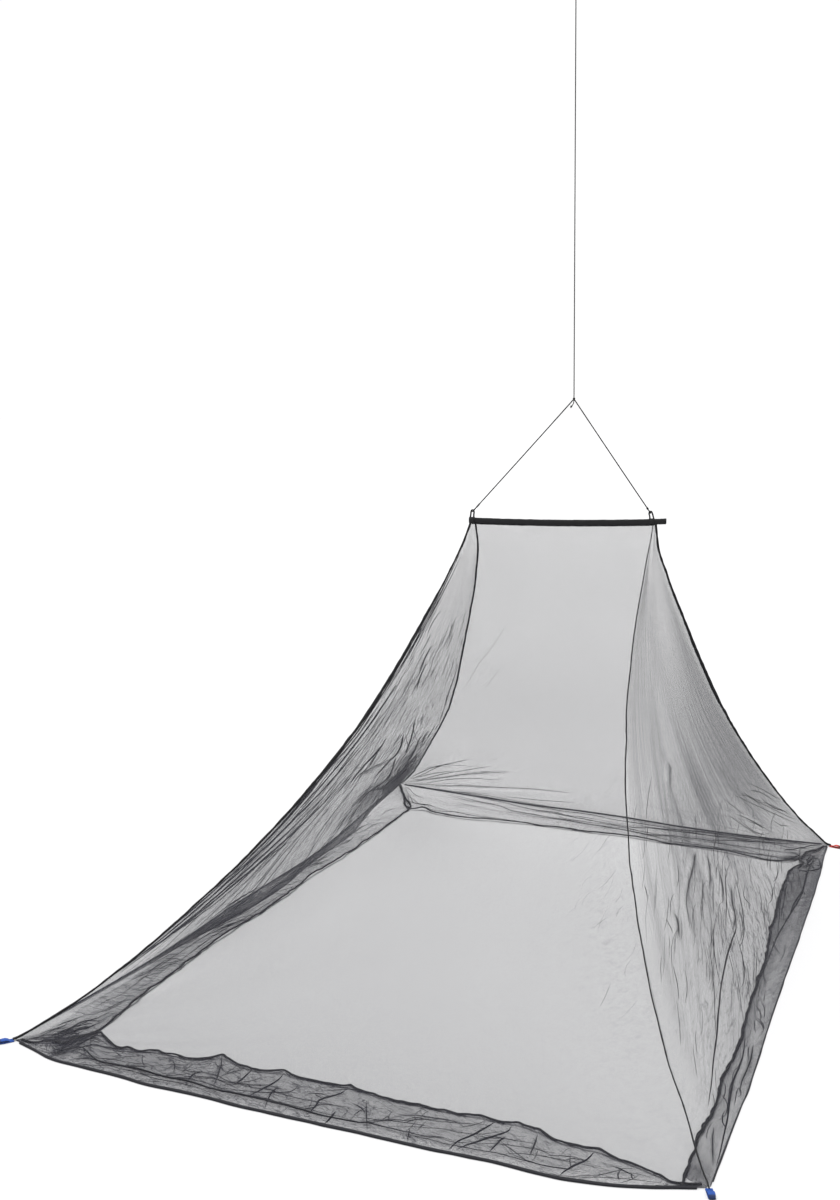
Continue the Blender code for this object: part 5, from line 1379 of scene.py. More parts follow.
def edge_line(builder, name):
    """The outer fold pressed to a crease: a narrow doubled strip round it."""
    c = cloth[name]
    wide, density = EDGE_LINE[name]
    path = resample(c["p"][3:-3, WALL_ROWS + UPPER_ROWS + TURN_ROWS // 2], 0.008)
    s1 = np.concatenate([[0], np.cumsum(np.linalg.norm(np.diff(path, axis=0), axis=1))])
    rng = Noise(SEEDS[name] + 400)
    out = c["out"]
    thick = wide * (1 + 0.25 * rng(s1 * 24, 1.0))
    shift = 0.0008 * rng(s1 * 15, 4.0)
    rows = []
    for a, b in ((-0.5, 0.0010), (-0.1, 0.0026), (0.35, 0.0016), (0.42, -0.0006), (0.1, -0.0014), (-0.45, -0.0014)):
        rows.append(path + out * (thick * a + shift)[:, None] + np.array((0, 0, b * min(wide / 0.0036, 1.8))))
    p = np.stack(rows, 1)
    p[..., 2] = np.maximum(p[..., 2], 0.0002)
    uv = np.stack([np.stack([s1, np.full_like(s1, 0.1 + 0.002 * k)], -1) for k in range(len(rows))], 1)
    builder.grid(p, uv, np.full(p.shape[:2], density))


def build_hem(name):
    """The rolled free edge of a skirt, following its bumps."""
    c = cloth[name]
    path = c["p"][:, -1].copy()
    path = path[2:-2]
    if name == "right_panel":
        # it runs on under the front skirt and stops at the front fold
        last = skirt_place("front_panel", np.array([0.972]), np.array([0.03]))
        path = np.concatenate([last + (path[:1] - last) * np.linspace(0, 1, 6)[:-1, None], path])
    path = resample(path, 0.006)
    s = np.concatenate([[0], np.cumsum(np.linalg.norm(np.diff(path, axis=0), axis=1))])
    rng = Noise(SEEDS[name] + 200)
    t, side, up = frames(path)
    up = np.tile((0.0, 0.0, 1.0), (len(path), 1))
    side = unit(np.cross(t, up))
    path = path + side * (0.0012 * rng(s * 40, 1.0) + 0.0010 * rng(s * 95, 5.0))[:, None]
    path[:, 2] += 0.0020 + 0.0016 * np.clip(rng(s * 28, 9.0), 0, 1)
    wide = HEM_WIDE[name] * (1 + 0.22 * rng(s * 45, 2.0) + 0.15 * rng(s * 120, 3.0)) / 2
    high = HEM_HIGH[name] * (1 + 0.2 * rng(s * 60, 4.0)) / 2
    lean = 0.5 * rng(s * 17, 6.0)
    count = 8
    rings = []
    for k in range(count):
        ang = 2 * math.pi * k / count
        x, y = wide * math.cos(ang), high * math.sin(ang)
        rings.append(path + side * (x * np.cos(lean) - y * np.sin(lean))[:, None]
                     + up * (np.abs(x) * 0 + x * np.sin(lean) * 0.5 + y * np.cos(lean))[:, None])
    p = np.stack(rings, 1)
    p[..., 2] = np.maximum(p[..., 2], 0.0001)
    uv = np.stack([np.stack([np.full_like(s, 0.0012 * k), s], -1) for k in range(count)], 1)
    b = Builder()
    b.grid(p, uv, closed_m=True)
    b.cap(p[0], True)
    b.cap(p[-1])
    ob = b.make(name.replace("_panel", "_hem"), hem_mat)
    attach(ob, "root")
    return ob


def cloth_area(name):
    p = cloth[name]["p"]
    a = np.linalg.norm(np.cross(p[1:, :-1] - p[:-1, :-1], p[:-1, 1:] - p[:-1, :-1]), axis=-1) / 2
    b = np.linalg.norm(np.cross(p[1:, :-1] - p[1:, 1:], p[:-1, 1:] - p[1:, 1:]), axis=-1) / 2
    return float(a.sum() + b.sum())


# cut size of each panel before sewing: width at the floor and height from sleeve to hem, and its area
for panel in PANELS:
    build_panel(panel)
    build_pleats(panel)
    build_hem(panel)
    print(panel, "area", round(cloth_area(panel), 3), "widest", round(cloth[panel]["length"], 3),
          "drop", round(float(cloth[panel]["down"][:, -1].max()), 3))

# --------------------------------------------------------------------------
# hip tapes
# --------------------------------------------------------------------------
# width and thickness of each tape, and where it goes in under the sleeve
TAPES = {"front_left": (0.0070, 0.0054, 1.1935), "front_right": (0.0034, 0.0026, 1.2025),
         "back_right": (0.0074, 0.0060, 1.2025), "back_left": (0.0056, 0.0046, 1.1935)}
TAPE_WIDE = 0.0044


TAPE_ROLL = {"front_left": 0.55, "front_right": 0.10, "back_right": 0.45, "back_left": 0.10}


def build_tape(name):
    """The folded tape that joins two panels, with a stitched, slightly puckered edge."""
    tape_wide, tape_thick, tape_top = TAPES[name]
    z = np.concatenate([np.linspace(tape_top, 0.05, 240), np.linspace(0.049, 0.010, 40)])
    path = hip(name, z) + CENTRE
    (dx, dy), start = CORNER_LOOPS[name]
    d = unit((dx, dy, 0.0))
    foot = corner(name) + CENTRE
    path = np.concatenate([path, [foot + (0, 0, 0.0075) - d * 0.003, foot + (0, 0, 0.0055) + d * 0.004,
                                  foot + (0, 0, 0.0050) + d * (start + 0.002)]])
    path = resample(path, 0.005)
    s = np.concatenate([[0], np.cumsum(np.linalg.norm(np.diff(path, axis=0), axis=1))])
    t = unit(np.gradient(path, axis=0))
    middle = np.array((0.19, 0.0, 0.0))
    away = unit((path - middle) * (1, 1, 0) + (0, 0, 1e-3))
    away = unit(away - t * (away * t).sum(-1, keepdims=True))
    side = unit(np.cross(t, away))
    rng = Noise(len(name) + 300)
    kink = smoothstep(np.minimum(s, s[-1] - s) / 0.05)
    path = path + side * (kink * (0.0014 * rng(s * 11, 0.0) + 0.0010 * sharp(rng(s * 34, 2.0), 1.5)))[:, None]
    path = path + away * (0.0008 * kink * rng(s * 26, 4.0))[:, None]
    # the netting rolls over the tape in the middle of its run
    roll = 1 + TAPE_ROLL[name] * np.exp(-((s / s[-1] - 0.36) / 0.16) ** 2)
    wide = tape_wide / 2 * (1 + 0.14 * rng(s * 60, 7.0)) * roll
    thick = tape_thick / 2 * (1 + 0.18 * rng(s * 80, 9.0)) * roll
    twist = 0.35 * rng(s * 5, 3.0)
    count = 10
    rings = []
    for k in range(count):
        ang = 2 * math.pi * (k + 0.5) / count
        cx, sx = math.cos(ang), math.sin(ang)
        x = wide * math.copysign(abs(cx) ** 0.7, cx)
        y = thick * math.copysign(abs(sx) ** 0.7, sx)
        rings.append(path + side * (x * np.cos(twist) - y * np.sin(twist))[:, None]
                     + away * (x * np.sin(twist) + y * np.cos(twist))[:, None])
    p = np.stack(rings, 1)
    p[..., 2] = np.maximum(p[..., 2], 0.0002)
    uv = np.stack([np.stack([np.full_like(s, TAPE_WIDE * 2 * k / count), s], -1) for k in range(count)], 1)
    b = Builder()
    b.grid(p, uv, closed_m=True)
    b.cap(p[0], True)
    b.cap(p[-1])
    ob = b.make("hip_tape_" + name, tape_mat)
    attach(ob, "root")
    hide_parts("hip_binding_" + name)
    return ob


tapes = {name: build_tape(name) for name in HIPS}

# --------------------------------------------------------------------------
# corner loops of folded webbing
# --------------------------------------------------------------------------
WEB_W, WEB_T = 0.0150, 0.0013
LOOP_LONG, LOOP_SEWN, LOOP_EYE = 0.0380, 0.0090, 0.0058


def webbing_loop(name):
    """One length of webbing, folded at the tip and stitched flat at the net."""
    (dx, dy), start = CORNER_LOOPS[name]
    d = unit((dx, dy, 0.0))
    up = np.array((0.0, 0.0, 1.0))
    side = np.cross(d, up)
    at = corner(name) + CENTRE + d * start
    high = 2 * WEB_T + LOOP_EYE
    r = high / 2 - WEB_T / 2
    line = [(0.000, WEB_T / 2), (LOOP_SEWN, WEB_T / 2), (LOOP_LONG * 0.55, WEB_T / 2)]
    tip = LOOP_LONG - high / 2
    for k in range(13):
        ang = -math.pi / 2 + math.pi * k / 12
        line.append((tip + r * math.cos(ang), high / 2 + r * math.sin(ang)))
    line += [(LOOP_LONG * 0.55, high - WEB_T / 2), (LOOP_SEWN + 0.0045, high * 0.62),
             (LOOP_SEWN, WEB_T * 1.62), (0.000, WEB_T * 1.62)]
    c = polyline([(x, 0, y) for x, y in line], 0.001)
    c = resample(c, 0.0009)
    s = np.concatenate([[0], np.cumsum(np.linalg.norm(np.diff(c, axis=0), axis=1))])
    t = unit(np.gradient(c, axis=0))
    nrm = np.stack([-t[:, 2], np.zeros(len(t)), t[:, 0]], -1)
    tip_share = np.clip(1 - np.abs(s - s[-1] / 2) / 0.012, 0, 1)
    half = WEB_W / 2 * (1 - 0.16 * smoothstep(tip_share))
    cross = 15
    rows_top, rows_low, uv = [], [], []
    rng = Noise(400 + len(name))
    for k in range(cross):
        x = -1 + 2 * k / (cross - 1)
        rib = 0.00007 * math.cos(k * math.pi)
        round_off = WEB_T / 2 * (1 - 0.35 * abs(x) ** 6)
        curl = 0.0005 * x * x * rng(s * 60, 2.0)
        world = at + d * c[:, :1] + up * c[:, 2:] + side * (half * x)[:, None]
        n_world = d * nrm[:, :1] + up * nrm[:, 2:]
        rows_top.append(world + n_world * (round_off + rib + curl)[:, None])
        rows_low.append(world - n_world * (round_off + rib - curl)[:, None])
        uv.append(np.stack([np.full_like(s, WEB_W * k / (cross - 1)),
                            np.where(s < s[-1] / 2, s, s[-1] - s)], -1))
    ring = np.stack(rows_top + rows_low[::-1], 1)
    uvs = np.stack(uv + uv[::-1], 1)
    ring[..., 2] = np.maximum(ring[..., 2], 0.00002)
    b = Builder()
    b.grid(ring, uvs, closed_m=True)
    b.cap(ring[0], True)
    b.cap(ring[-1])
    colour = "blue" if name.startswith("front") else "red"
    ob = b.make("corner_webbing_" + name, blue_mat if colour == "blue" else red_mat)
    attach(ob, "root")
    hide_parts("corner_loop_" + name)
    # box of stitches with a cross in it, on the sewn end
    z = WEB_T * 2.12 + 0.0001
    x0, x1, y0, y1 = 0.0012, 0.0078, -0.0055, 0.0055
    runs = [((x0, y0), (x1, y0)), ((x1, y0), (x1, y1)), ((x1, y1), (x0, y1)), ((x0, y1), (x0, y0)),
            ((x0, y0), (x1, y1)), ((x0, y1), (x1, y0))]
    b = Builder()
    for (ax, ay), (bx, by) in runs:
        long = math.hypot(bx - ax, by - ay)
        count = max(3, int(long / 0.0017))
        for k in range(count):
            u0, u1 = (k + 0.12) / count, (k + 0.88) / count
            pts = []
            for u in np.linspace(u0, u1, 5):
                h = 0.00016 * math.sin(math.pi * (u - u0) / (u1 - u0))
                pts.append(at + d * (ax + (bx - ax) * u) + side * (ay + (by - ay) * u) + up * (z + h))
            add_tube(b, np.array(pts), 0.00019, 6)
    st = b.make("corner_stitches_" + name, stitch_blue if colour == "blue" else stitch_red)
    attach(st, "root")
    return ob, st


def add_tube(b, path, radius, sides=8, lobes=0, pitch=0.005, caps=True, squeeze=None, taper=True):
    """A tube on a path; with lobes, the strands of a twisted cord."""
    s = np.concatenate([[0], np.cumsum(np.linalg.norm(np.diff(path, axis=0), axis=1))])
    t, side, up = frames(path)
    rings, uv = [], []
    r = np.full(len(path), radius)
    if squeeze is not None:
        r = r * squeeze
    for k in range(sides):
        ang = 2 * math.pi * k / sides + (2 * math.pi * s / pitch if lobes else 0 * s)
        own = 2 * math.pi * k / sides
        rr = r * (1 + (0.13 * math.cos(lobes * own) - 0.05 if lobes else 0))
        rings.append(path + side * (rr * np.cos(ang))[:, None] + up * (rr * np.sin(ang))[:, None])
        uv.append(np.stack([np.full_like(s, 2 * math.pi * radius * k / sides), s], -1))
    p = np.stack(rings, 1)
    b.grid(p, np.stack(uv, 1), closed_m=True)
    if caps:
        b.cap(p[0], True)
        b.cap(p[-1])
    return p


corner_pieces = {name: webbing_loop(name) for name in CORNER_LOOPS}


# --------------------------------------------------------------------------
# sleeve round the spreader bar
# --------------------------------------------------------------------------
def oval(high, deep, count, p=0.55):
    pts = []
    for k in range(count):
        ang = 2 * math.pi * (k + 0.5) / count
        c, s = math.cos(ang), math.sin(ang)
        pts.append((deep / 2 * math.copysign(abs(c) ** p, c), high / 2 * math.copysign(abs(s) ** p, s)))
    return np.array(pts)


def build_sleeve():
    rows, sides = 190, 28
    x = np.linspace(BAR_LEFT[0], BAR_RIGHT[0], rows)
    axis = bar_axis(x) + CENTRE
    rng = Noise(500)
    out_p, in_p = oval(SLEEVE_HIGH, SLEEVE_DEEP, sides), oval(SLEEVE_HIGH - 2 * SLEEVE_WALL,
                                                              SLEEVE_DEEP - 2 * SLEEVE_WALL, sides)
    s = x - x[0]
    outer, inner = [], []
    for k in range(sides):
        y, z = out_p[k]
        wrinkle = 0.00035 * rng(s * 70 + 2 * k / sides, k * 0.45) + 0.00025 * rng(s * 160, k * 0.9 + 9)
        # the lower edge is pinched flat where the netting is sewn in
        pinch = 0.0
        if z < -SLEEVE_HIGH * 0.42:
            pinch = 1.0
        end = 1 + 0.02 * np.exp(-(np.minimum(s, s[-1] - s) / 0.004) ** 2)
        yy, zz = y * end * (1 - 0.25 * pinch), z * end
        g = unit((y, z)) if (y or z) else (0, 0)
        outer.append(axis + np.stack([0 * s, yy + g[0] * wrinkle, zz + g[1] * wrinkle], -1))
        yi, zi = in_p[k]
        inner.append(axis + np.stack([0 * s, yi + 0 * s, zi + 0 * s], -1))
    outer, inner = np.stack(outer, 1), np.stack(inner, 1)
    ring = np.concatenate([outer], 1)
    b = Builder()
    per = 0.047
    uv = np.stack([np.stack([s, np.full_like(s, per * k / sides)], -1) for k in range(sides)], 1)
    b.grid(outer, uv, closed_m=True)
    b.grid(inner, uv, closed_m=True, flip=True)
    for row, flip in ((0, False), (-1, True)):
        lip = np.stack([outer[row], inner[row]], 0)
        luv = np.stack([np.stack([np.full(sides, 0.001 * j), np.linspace(0, per, sides)], -1) for j in range(2)], 0)
        b.grid(lip, luv, closed_m=True, flip=flip)
    ob = b.make("sleeve_cloth", sleeve_mat)
    bpy.context.view_layer.objects.active = ob
    me = ob.data
    import bmesh
    bm = bmesh.new()
    bm.from_mesh(me)
    bmesh.ops.remove_doubles(bm, verts=bm.verts, dist=0.00001)
    bmesh.ops.recalc_face_normals(bm, faces=bm.faces)
    bm.to_mesh(me)
    bm.free()
    me.set_sharp_from_angle(angle=math.radians(50))
    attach(ob, "root")
    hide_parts("bar_sleeve")
    # two rows of stitches along the lower edge, on either side
    b = Builder()
    dirx = unit(BAR_RIGHT - BAR_LEFT)
    for y_side in (-1, 1):
        for low, inset_y in ((0.0042, 0.0), (0.0016, 0.0004)):
            n = int(0.555 / 0.0034)
            for k in range(n):
                x0 = BAR_LEFT[0] + 0.004 + 0.0034 * k
                x1 = x0 + 0.0024
                q = bar_axis(np.array((x0, (x0 + x1) / 2, x1))) + CENTRE
                z = -SLEEVE_HIGH / 2 + low
                depth = abs(SLEEVE_DEEP / 2) * min(1.0, (1 - (abs(z) / (SLEEVE_HIGH / 2)) ** 3.6) ** (1 / 3.6))
                q[:, 1] += y_side * (depth * 0.99 - inset_y)
                q[:, 2] += z
                q[1, 1] += y_side * 0.00025
                add_tube(b, q, 0.00017, 5)
    st = b.make("sleeve_stitches", thread_mat)
    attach(st, "root")
    # the netting's seam allowance under the sleeve
    rows = 160
    x = np.linspace(BAR_LEFT[0] + 0.004, 0.4400, rows)
    q = bar_axis(x) + CENTRE
    s = x - x[0]
    b = Builder()
    rings = []
    for y, z in ((-0.0016, 0.0010), (-0.0018, -0.0012), (-0.0011, -0.0030), (0.0011, -0.0030), (0.0018, -0.0012),
                 (0.0016, 0.0010)):
        wob = 0.0004 * rng(s * 60, y * 900 + 3) + 0.0003 * rng(s * 140, z * 900)
        rings.append(q + np.stack([0 * s, y + wob, z - SLEEVE_HIGH / 2 + 0.6 * wob], -1))
    p = np.stack(rings, 1)
    uv = np.stack([np.stack([s, np.full_like(s, 0.002 * k)], -1) for k in range(6)], 1)
    b.grid(p, uv, closed_m=True)
    b.cap(p[0], True)
    b.cap(p[-1])
    seam = b.make("sleeve_seam", tape_mat)
    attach(seam, "root")
    return ob, st, seam


sleeve, sleeve_stitches, sleeve_seam = build_sleeve()

# the rod stays the CAD's own, with a drawn fibreglass finish
rod_mat, nt, bsdf = new_material("rod_finish")
co = node(nt, "ShaderNodeTexCoord")
stretch = node(nt, "ShaderNodeMapping")
stretch.inputs["Scale"].default_value = (12, 900, 900)
nt.links.new(co.outputs["Object"], stretch.inputs["Vector"])
grain = node(nt, "ShaderNodeTexNoise")
grain.inputs["Scale"].default_value = 1.0
grain.inputs["Detail"].default_value = 4.0
nt.links.new(stretch.outputs[0], grain.inputs["Vector"])
ramp = node(nt, "ShaderNodeMix", data_type="RGBA")
nt.links.new(grain.outputs["Fac"], ramp.inputs[0])
ramp.inputs[6].default_value = (0.022, 0.022, 0.024, 1)
ramp.inputs[7].default_value = (0.060, 0.060, 0.064, 1)
nt.links.new(ramp.outputs[2], bsdf.inputs["Base Color"])
bsdf.inputs["Roughness"].default_value = 0.38
bump = node(nt, "ShaderNodeBump")
bump.inputs["Strength"].default_value = 0.15
bump.inputs["Distance"].default_value = 0.0002
nt.links.new(grain.outputs["Fac"], bump.inputs["Height"])
nt.links.new(bump.outputs[0], bsdf.inputs["Normal"])
rod = nodes["spreader_bar"]
rod.data.materials.clear()
rod.data.materials.append(rod_mat)

# --------------------------------------------------------------------------
# loops on the bar
# --------------------------------------------------------------------------
BAR_LOOPS = {
    "hang_loop_left": (-0.0890, ((-0.0085, 0.0), (0.0085, 0.0), (0.0085, 0.006),
                                 (0.0060, 0.0200), (0.0030, 0.0245), (-0.0005, 0.0240),
                                 (-0.0040, 0.0180), (-0.0085, 0.005)), (0.0022, 0.0165)),
    "hang_loop_right": (0.4330, ((-0.0085, 0.0), (0.0085, 0.0), (0.0085, 0.005),
                                 (0.0040, 0.0170), (0.0010, 0.0215), (-0.0035, 0.0235),
                                 (-0.0070, 0.0200), (-0.0085, 0.006)), (-0.0030, 0.0155)),
}
BAR_LOOP_T = 0.0030
BAR_LOOP_EYE_R = 0.0030
bar_dir = unit(BAR_RIGHT - BAR_LEFT)
bar_side = unit(np.array((bar_dir[1], -bar_dir[0], 0.0)))
bar_up = np.cross(bar_side, bar_dir)
if bar_up[2] < 0:
    bar_up = -bar_up
bar_face = np.cross(bar_dir, bar_up)


def bar_loop_frame(name):
    return bar_axis(BAR_LOOPS[name][0]) + CENTRE + bar_up * (SLEEVE_HIGH / 2 + 0.0005)


def ribbon(b, path, across, width, thick, ribs=True):
    """A flat tape on a path, across it its width."""
    s = np.concatenate([[0], np.cumsum(np.linalg.norm(np.diff(path, axis=0), axis=1))])
    t = unit(np.gradient(path, axis=0))
    a = unit(across)
    nn = unit(np.cross(t, a))
    cross = 9
    top, low, uv = [], [], []
    for k in range(cross):
        x = -1 + 2 * k / (cross - 1)
        edge_t = thick / 2 * (1 - 0.4 * abs(x) ** 6) + (0.00005 * math.cos(k * math.pi) if ribs else 0)
        base = path + a * (np.asarray(width) / 2 * x)[..., None]
        top.append(base + nn * edge_t)
        low.append(base - nn * edge_t)
        uv.append(np.stack([np.full_like(s, 0.002 * k), s], -1))
    p = np.stack(top + low[::-1], 1)
    b.grid(p, np.stack(uv + uv[::-1], 1), closed_m=True)
    b.cap(p[0], True)
    b.cap(p[-1])


def build_bar_loop(name):
    """A tape goes round the sleeve and up into a narrow loop that the cord is tied to."""
    x, outline, (ex, ez) = BAR_LOOPS[name]
    at = bar_loop_frame(name)
    lean = 1 if name.endswith("left") else -1
    b = Builder()
    # band round the sleeve
    centre = bar_axis(x) + CENTRE
    ang = np.linspace(-0.42 * math.pi, 1.42 * math.pi, 60)
    c, s_ = np.cos(ang), np.sin(ang)
    grow = 0.0009
    yy = (SLEEVE_DEEP / 2 + grow) * np.sign(c) * np.abs(c) ** 0.6
    zz = (SLEEVE_HIGH / 2 + grow) * np.sign(s_) * np.abs(s_) ** 0.6
    path = centre + bar_face * yy[:, None] + bar_up * zz[:, None]
    ribbon(b, path, bar_dir, np.full(len(path), 0.0150), 0.0012)
    # the two legs of the loop, standing up and leaning towards the cord
    top = np.array((ex, ez + BAR_LOOP_EYE_R + 0.0016))
    route = [(-0.0045 * lean + 0.0005, -0.0015), (-0.0030 * lean, 0.0070), (ex - 0.0040 * lean, ez),
             (ex, ez + 0.0052), (ex + 0.0042, ez + 0.0005), (0.0048 * lean + 0.001, 0.0060),
             (0.0050 * lean, -0.0015)]
    front = []
    for hand in (-1, 1):
        pts = [(-0.0050, -0.0010), (-0.0044 + ex * 0.4, 0.0065), (ex - 0.0044, ez - 0.0005),
               (ex - 0.0020, ez + 0.0044), (ex + 0.0020, ez + 0.0046), (ex + 0.0046, ez),
               (0.0052 + ex * 0.3, 0.0060), (0.0058, -0.0010)]
        line = polyline([(u, 0, v) for u, v in pts], 0.001)
        line = resample(line, 0.0007)
        path = at + bar_dir * line[:, :1] + bar_up * line[:, 2:]
        path = path + bar_face * (0.0)
        front.append(path)
    ribbon(b, front[0], bar_face, np.full(len(front[0]), 0.0066), 0.0038)
    ob = b.make(name.replace("hang_loop", "hang_webbing"), black_web)
    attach(ob, "root")
    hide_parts(name)
    b = Builder()
    for row in (-1, 1):
        for k in range(5):
            u0 = -0.0058 + 0.0026 * k
            q = np.array([centre + bar_dir * (u0 + 0.0018 * f) + bar_up * (row * 0.0042)
                          - bar_face * (SLEEVE_DEEP / 2 + 0.0016 + 0.0002 * math.sin(math.pi * f)) for f in (0, 0.5, 1)])
            add_tube(b, q, 0.0002, 6)
            q2 = q + bar_face * 2 * (SLEEVE_DEEP / 2 + 0.0016)
            add_tube(b, q2, 0.0002, 6)
    st = b.make(name.replace("hang_loop", "hang_stitches"), thread_mat)
    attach(st, "root")
    return ob


bar_loops = {name: build_bar_loop(name) for name in BAR_LOOPS}

# --------------------------------------------------------------------------
# cords
# --------------------------------------------------------------------------
BRIDLE_KNOT = {"left": 0.0180, "right": 0.0080}
BRIDLE_KNOT_R = {"left": 0.0026, "right": 0.0031}
EYE_LONG = {"left": 0.0150, "right": 0.0110}
EYE_WIDE = 0.0090
CORD_GAP = 0.0004
APEX_KNOT_R = 0.0038


def cord_piece(name, path, replaces=(), radius=CORD_D / 2):
    path = resample(path, 0.0010)
    b = Builder()
    add_tube(b, path, radius, 12, lobes=3, pitch=0.0062)
    ob = b.make(name, cord_mat)
    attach(ob, "root")
    if replaces:
        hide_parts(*replaces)
    return ob, path


def wrapped_knot(name, a, b_, radius, turns, replaces=(), core=CORD_D / 2, extra=()):
    """Turns of the cord drawn tight round itself from a to b."""
    axis = b_ - a
    length = np.linalg.norm(axis)
    w = axis / length
    u = unit(np.cross(w, (0.3, 1.0, 0.2)))
    v = np.cross(w, u)
    b = Builder()
    n = int(turns * 22)
    t = np.linspace(0, 1, n)
    body = 0.55 + 0.45 * np.sin(math.pi * np.clip(t, 0, 1)) ** 0.5
    rr = max(radius - 0.0010, 0.0010) * body
    ang = 2 * math.pi * turns * t
    path = (a + w * (length * (0.04 + 0.92 * t))[:, None] + u * (rr * np.cos(ang))[:, None]
            + v * (rr * np.sin(ang))[:, None])
    add_tube(b, path, CORD_D * 0.42, 9, lobes=3, pitch=0.0062)
    line = np.stack([a + w * (length * k) for k in np.linspace(-0.02, 1.02, 12)])
    add_tube(b, line, core, 9)
    for run in extra:
        add_tube(b, resample(polyline(run, 0.001), 0.0008), CORD_D / 2, 9, lobes=3, pitch=0.0062)
    ob = b.make(name, cord_mat)
    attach(ob, "root")
    if replaces:
        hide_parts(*replaces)
    return ob


def round_knot(name, at, radius, replaces=(), lift=(0, 0, 1), seed=1):
    """An overhand knot pulled tight: a small three lobed knot of cord."""
    w = unit(lift)
    u = unit(np.cross(w, (0.2, 1.0, 0.1)))
    v = np.cross(w, u)
    t = np.linspace(0, 2 * math.pi, 150)
    x = np.sin(t) + 2 * np.sin(2 * t)
    y = np.cos(t) - 2 * np.cos(2 * t)
    z = -np.sin(3 * t)
    k = (radius - 0.0009) / 3.0
    path = at + u * (x * k)[:, None] * 0.92 + v * (z * k * 1.9)[:, None] + w * (y * k)[:, None] * 1.05
    b = Builder()
    add_tube(b, path, CORD_D * 0.44, 10, lobes=3, pitch=0.0062)
    core = at + np.linspace(-1, 1, 8)[:, None] * w * radius * 0.9
    add_tube(b, core, 0.0018, 10)
    ob = b.make(name, cord_mat)
    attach(ob, "root")
    if replaces:
        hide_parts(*replaces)
    return ob


# where each leg leaves its loop
legs = {}
for hand in ("left", "right"):
    ex, ez = BAR_LOOPS["hang_loop_" + hand][2]
    hole = bar_loop_frame("hang_loop_" + hand) + bar_dir * ex + bar_up * ez
    pull = unit(APEX - hole)
    near = hole - pull * 0.0004
    far = near + pull * EYE_LONG[hand]
    mid, half = (near + far) / 2, (far - near) / 2
    ang = np.linspace(0, 2 * math.pi, 73)
    ring = mid + half * np.cos(ang)[:, None] + bar_face * (EYE_WIDE / 2 * np.sin(ang))[:, None]
    b = Builder()
    add_tube(b, ring[:-1], CORD_D / 2, 10, lobes=3, pitch=0.0062, caps=False)
    # close the ring
    n = 72
    ring_faces = [(71 * 10 + k, k, (k + 1) % 10, 71 * 10 + (k + 1) % 10) for k in range(10)]
    b.f += ring_faces
    eye = b.make("cord_eye_yarn_" + hand, cord_mat)
    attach(eye, "root")
    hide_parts("cord_eye_" + hand)
    knot_a = far + pull * (CORD_D / 2 + CORD_GAP) - pull * 0.0006
    knot_b = far + pull * (CORD_D / 2 + CORD_GAP) + pull * BRIDLE_KNOT[hand]
    turns = 6 if hand == "left" else 2.8
    knot = wrapped_knot("bridle_tie_" + hand, knot_a, knot_b, BRIDLE_KNOT_R[hand], turns, ("bridle_knot_" + hand,))
    a, b_ = knot_b, APEX - pull * 0.0012
    u = np.linspace(0, 1, 60)[:, None]
    sag = np.array((0, 0, -0.0006)) * (4 * u * (1 - u))
    leg, path = cord_piece("bridle_" + hand, a + (b_ - a) * u + sag, ("bridle_cord_" + hand,), CORD_D * 0.66)
    legs[hand] = (leg, path, eye, knot)

up_dir = unit(CORD_TOP - APEX)
apex_knot = round_knot("apex_tie", APEX, APEX_KNOT_R + 0.0003, ("apex_knot",))
# the hanging cord runs up into a loop and back to its knot
u = np.linspace(0, 1, 80)[:, None]
a, b_ = APEX + up_dir * 0.0012, CORD_TOP
top_a = CORD_TOP + up_dir * CORD_GAP
top_b = top_a + up_dir * 0.0130
loop_a = top_b + up_dir * (CORD_GAP + CORD_D / 2)
loop_b = loop_a + up_dir * 0.052
mid, half = (loop_a + loop_b) / 2, (loop_b - loop_a) / 2
ang = np.linspace(-math.pi + 0.10, math.pi - 0.10, 145)
ring = mid + half * np.cos(ang)[:, None] + np.array((1.0, 0, 0)) * (0.010 * np.sin(ang))[:, None]
run = np.concatenate([a + (b_ - a) * u, [top_b - up_dir * 0.003 - (0.0005, 0, 0)], ring,
                      [top_b - up_dir * 0.002 + (0.0009, 0, 0)]])
rope, rope_path = cord_piece("hanging_line", run, ("hanging_cord", "top_loop"), CORD_D * 0.58)
top_knot = wrapped_knot("top_tie", top_a - up_dir * 0.0006, top_b, 0.0038, 4, ("top_knot",),
                        extra=[[top_a + (0.0016, 0.0006, 0.002), top_a + (0.0044, 0.0006, -0.003),
                                top_a + (0.0052, 0.0010, -0.010), top_a + (0.0044, 0.0008, -0.018)]])

tail_path = polyline([APEX + (0.0002, -0.0016, -0.0020), np.array((0.2100, 0.0160, 1.5360)) + CENTRE,
                      np.array((0.2062, 0.0190, 1.5295)) + CENTRE, TAIL_KNOT + (0.0012, 0.0, 0.0014)], 0.001)
tail, tail_p = cord_piece("tail", tail_path, ("cord_tail",))
tail_knot = round_knot("tail_tie", TAIL_KNOT, 0.0031, ("tail_knot",), lift=(0.6, 0, 0.8))
frayed = Builder()
for k in range(7):
    ang = 2 * math.pi * k / 7
    d0 = np.array((math.cos(ang) * 0.0008, math.sin(ang) * 0.0008, 0))
    q = np.stack([TAIL_KNOT + d0 + (0, 0, -0.0015), TAIL_KNOT + d0 * 1.6 + (-0.0010, 0, -0.0032),
                  TAIL_KNOT + d0 * 2.6 + (-0.0016, 0, -0.0046)])
    add_tube(frayed, q, 0.00014, 5)
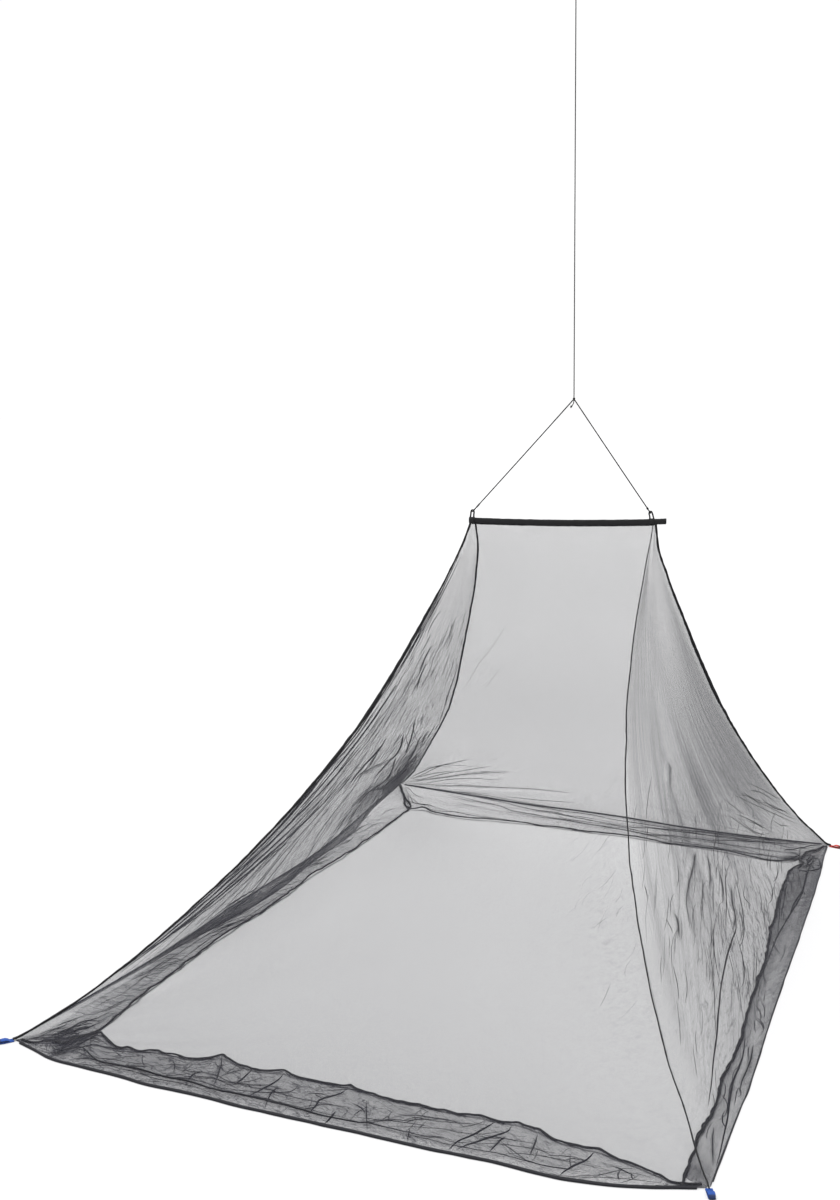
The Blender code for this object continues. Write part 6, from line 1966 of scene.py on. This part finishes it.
fray = frayed.make("tail_fray", cord_mat)
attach(fray, "root")

# --------------------------------------------------------------------------
# floor and light
# --------------------------------------------------------------------------
floor_mat, nt, bsdf = new_material("floor")
co = node(nt, "ShaderNodeTexCoord")
soft = node(nt, "ShaderNodeTexNoise")
soft.inputs["Scale"].default_value = 2.0
nt.links.new(co.outputs["Object"], soft.inputs["Vector"])
mix = node(nt, "ShaderNodeMix", data_type="RGBA")
nt.links.new(soft.outputs["Fac"], mix.inputs[0])
mix.inputs[6].default_value = (0.550, 0.550, 0.553, 1)
mix.inputs[7].default_value = (0.556, 0.556, 0.558, 1)
nt.links.new(mix.outputs[2], bsdf.inputs["Base Color"])
bsdf.inputs["Roughness"].default_value = 1.0
bsdf.inputs["Specular IOR Level"].default_value = 0.0
me = bpy.data.meshes.new("floor")
size = 60.0
me.from_pydata([(-size, -size, 0), (size, -size, 0), (size, size, 0), (-size, size, 0)], [], [(0, 1, 2, 3)])
me.materials.append(floor_mat)
floor = bpy.data.objects.new("floor", me)
floor.location.z = -0.0004
scene.collection.objects.link(floor)
floor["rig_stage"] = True

world = bpy.data.worlds.new("studio")
scene.world = world
world.use_nodes = True
world.node_tree.nodes["Background"].inputs["Color"].default_value = (1, 1, 1, 1)
world.node_tree.nodes["Background"].inputs["Strength"].default_value = 1.02

sun = bpy.data.lights.new("overhead", "SUN")
sun.energy = 3.05
sun.angle = math.radians(40)
sun.color = (1, 1, 1)
sun_ob = bpy.data.objects.new("overhead", sun)
sun_ob.rotation_euler = (math.radians(6), math.radians(-5), 0)
scene.collection.objects.link(sun_ob)

scene.view_settings.view_transform = "Standard"
scene.view_settings.look = "None"
scene.cycles.transparent_max_bounces = 48
scene.cycles.max_bounces = 6

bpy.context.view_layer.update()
total = 0
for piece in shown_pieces():
    if piece.type == "MESH" and not piece.get("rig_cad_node"):
        count = sum(len(poly.vertices) - 2 for poly in piece.data.polygons)
        total += count
        if count > 60000:
            print(piece.name, count, "triangles")
print("added triangles", total)
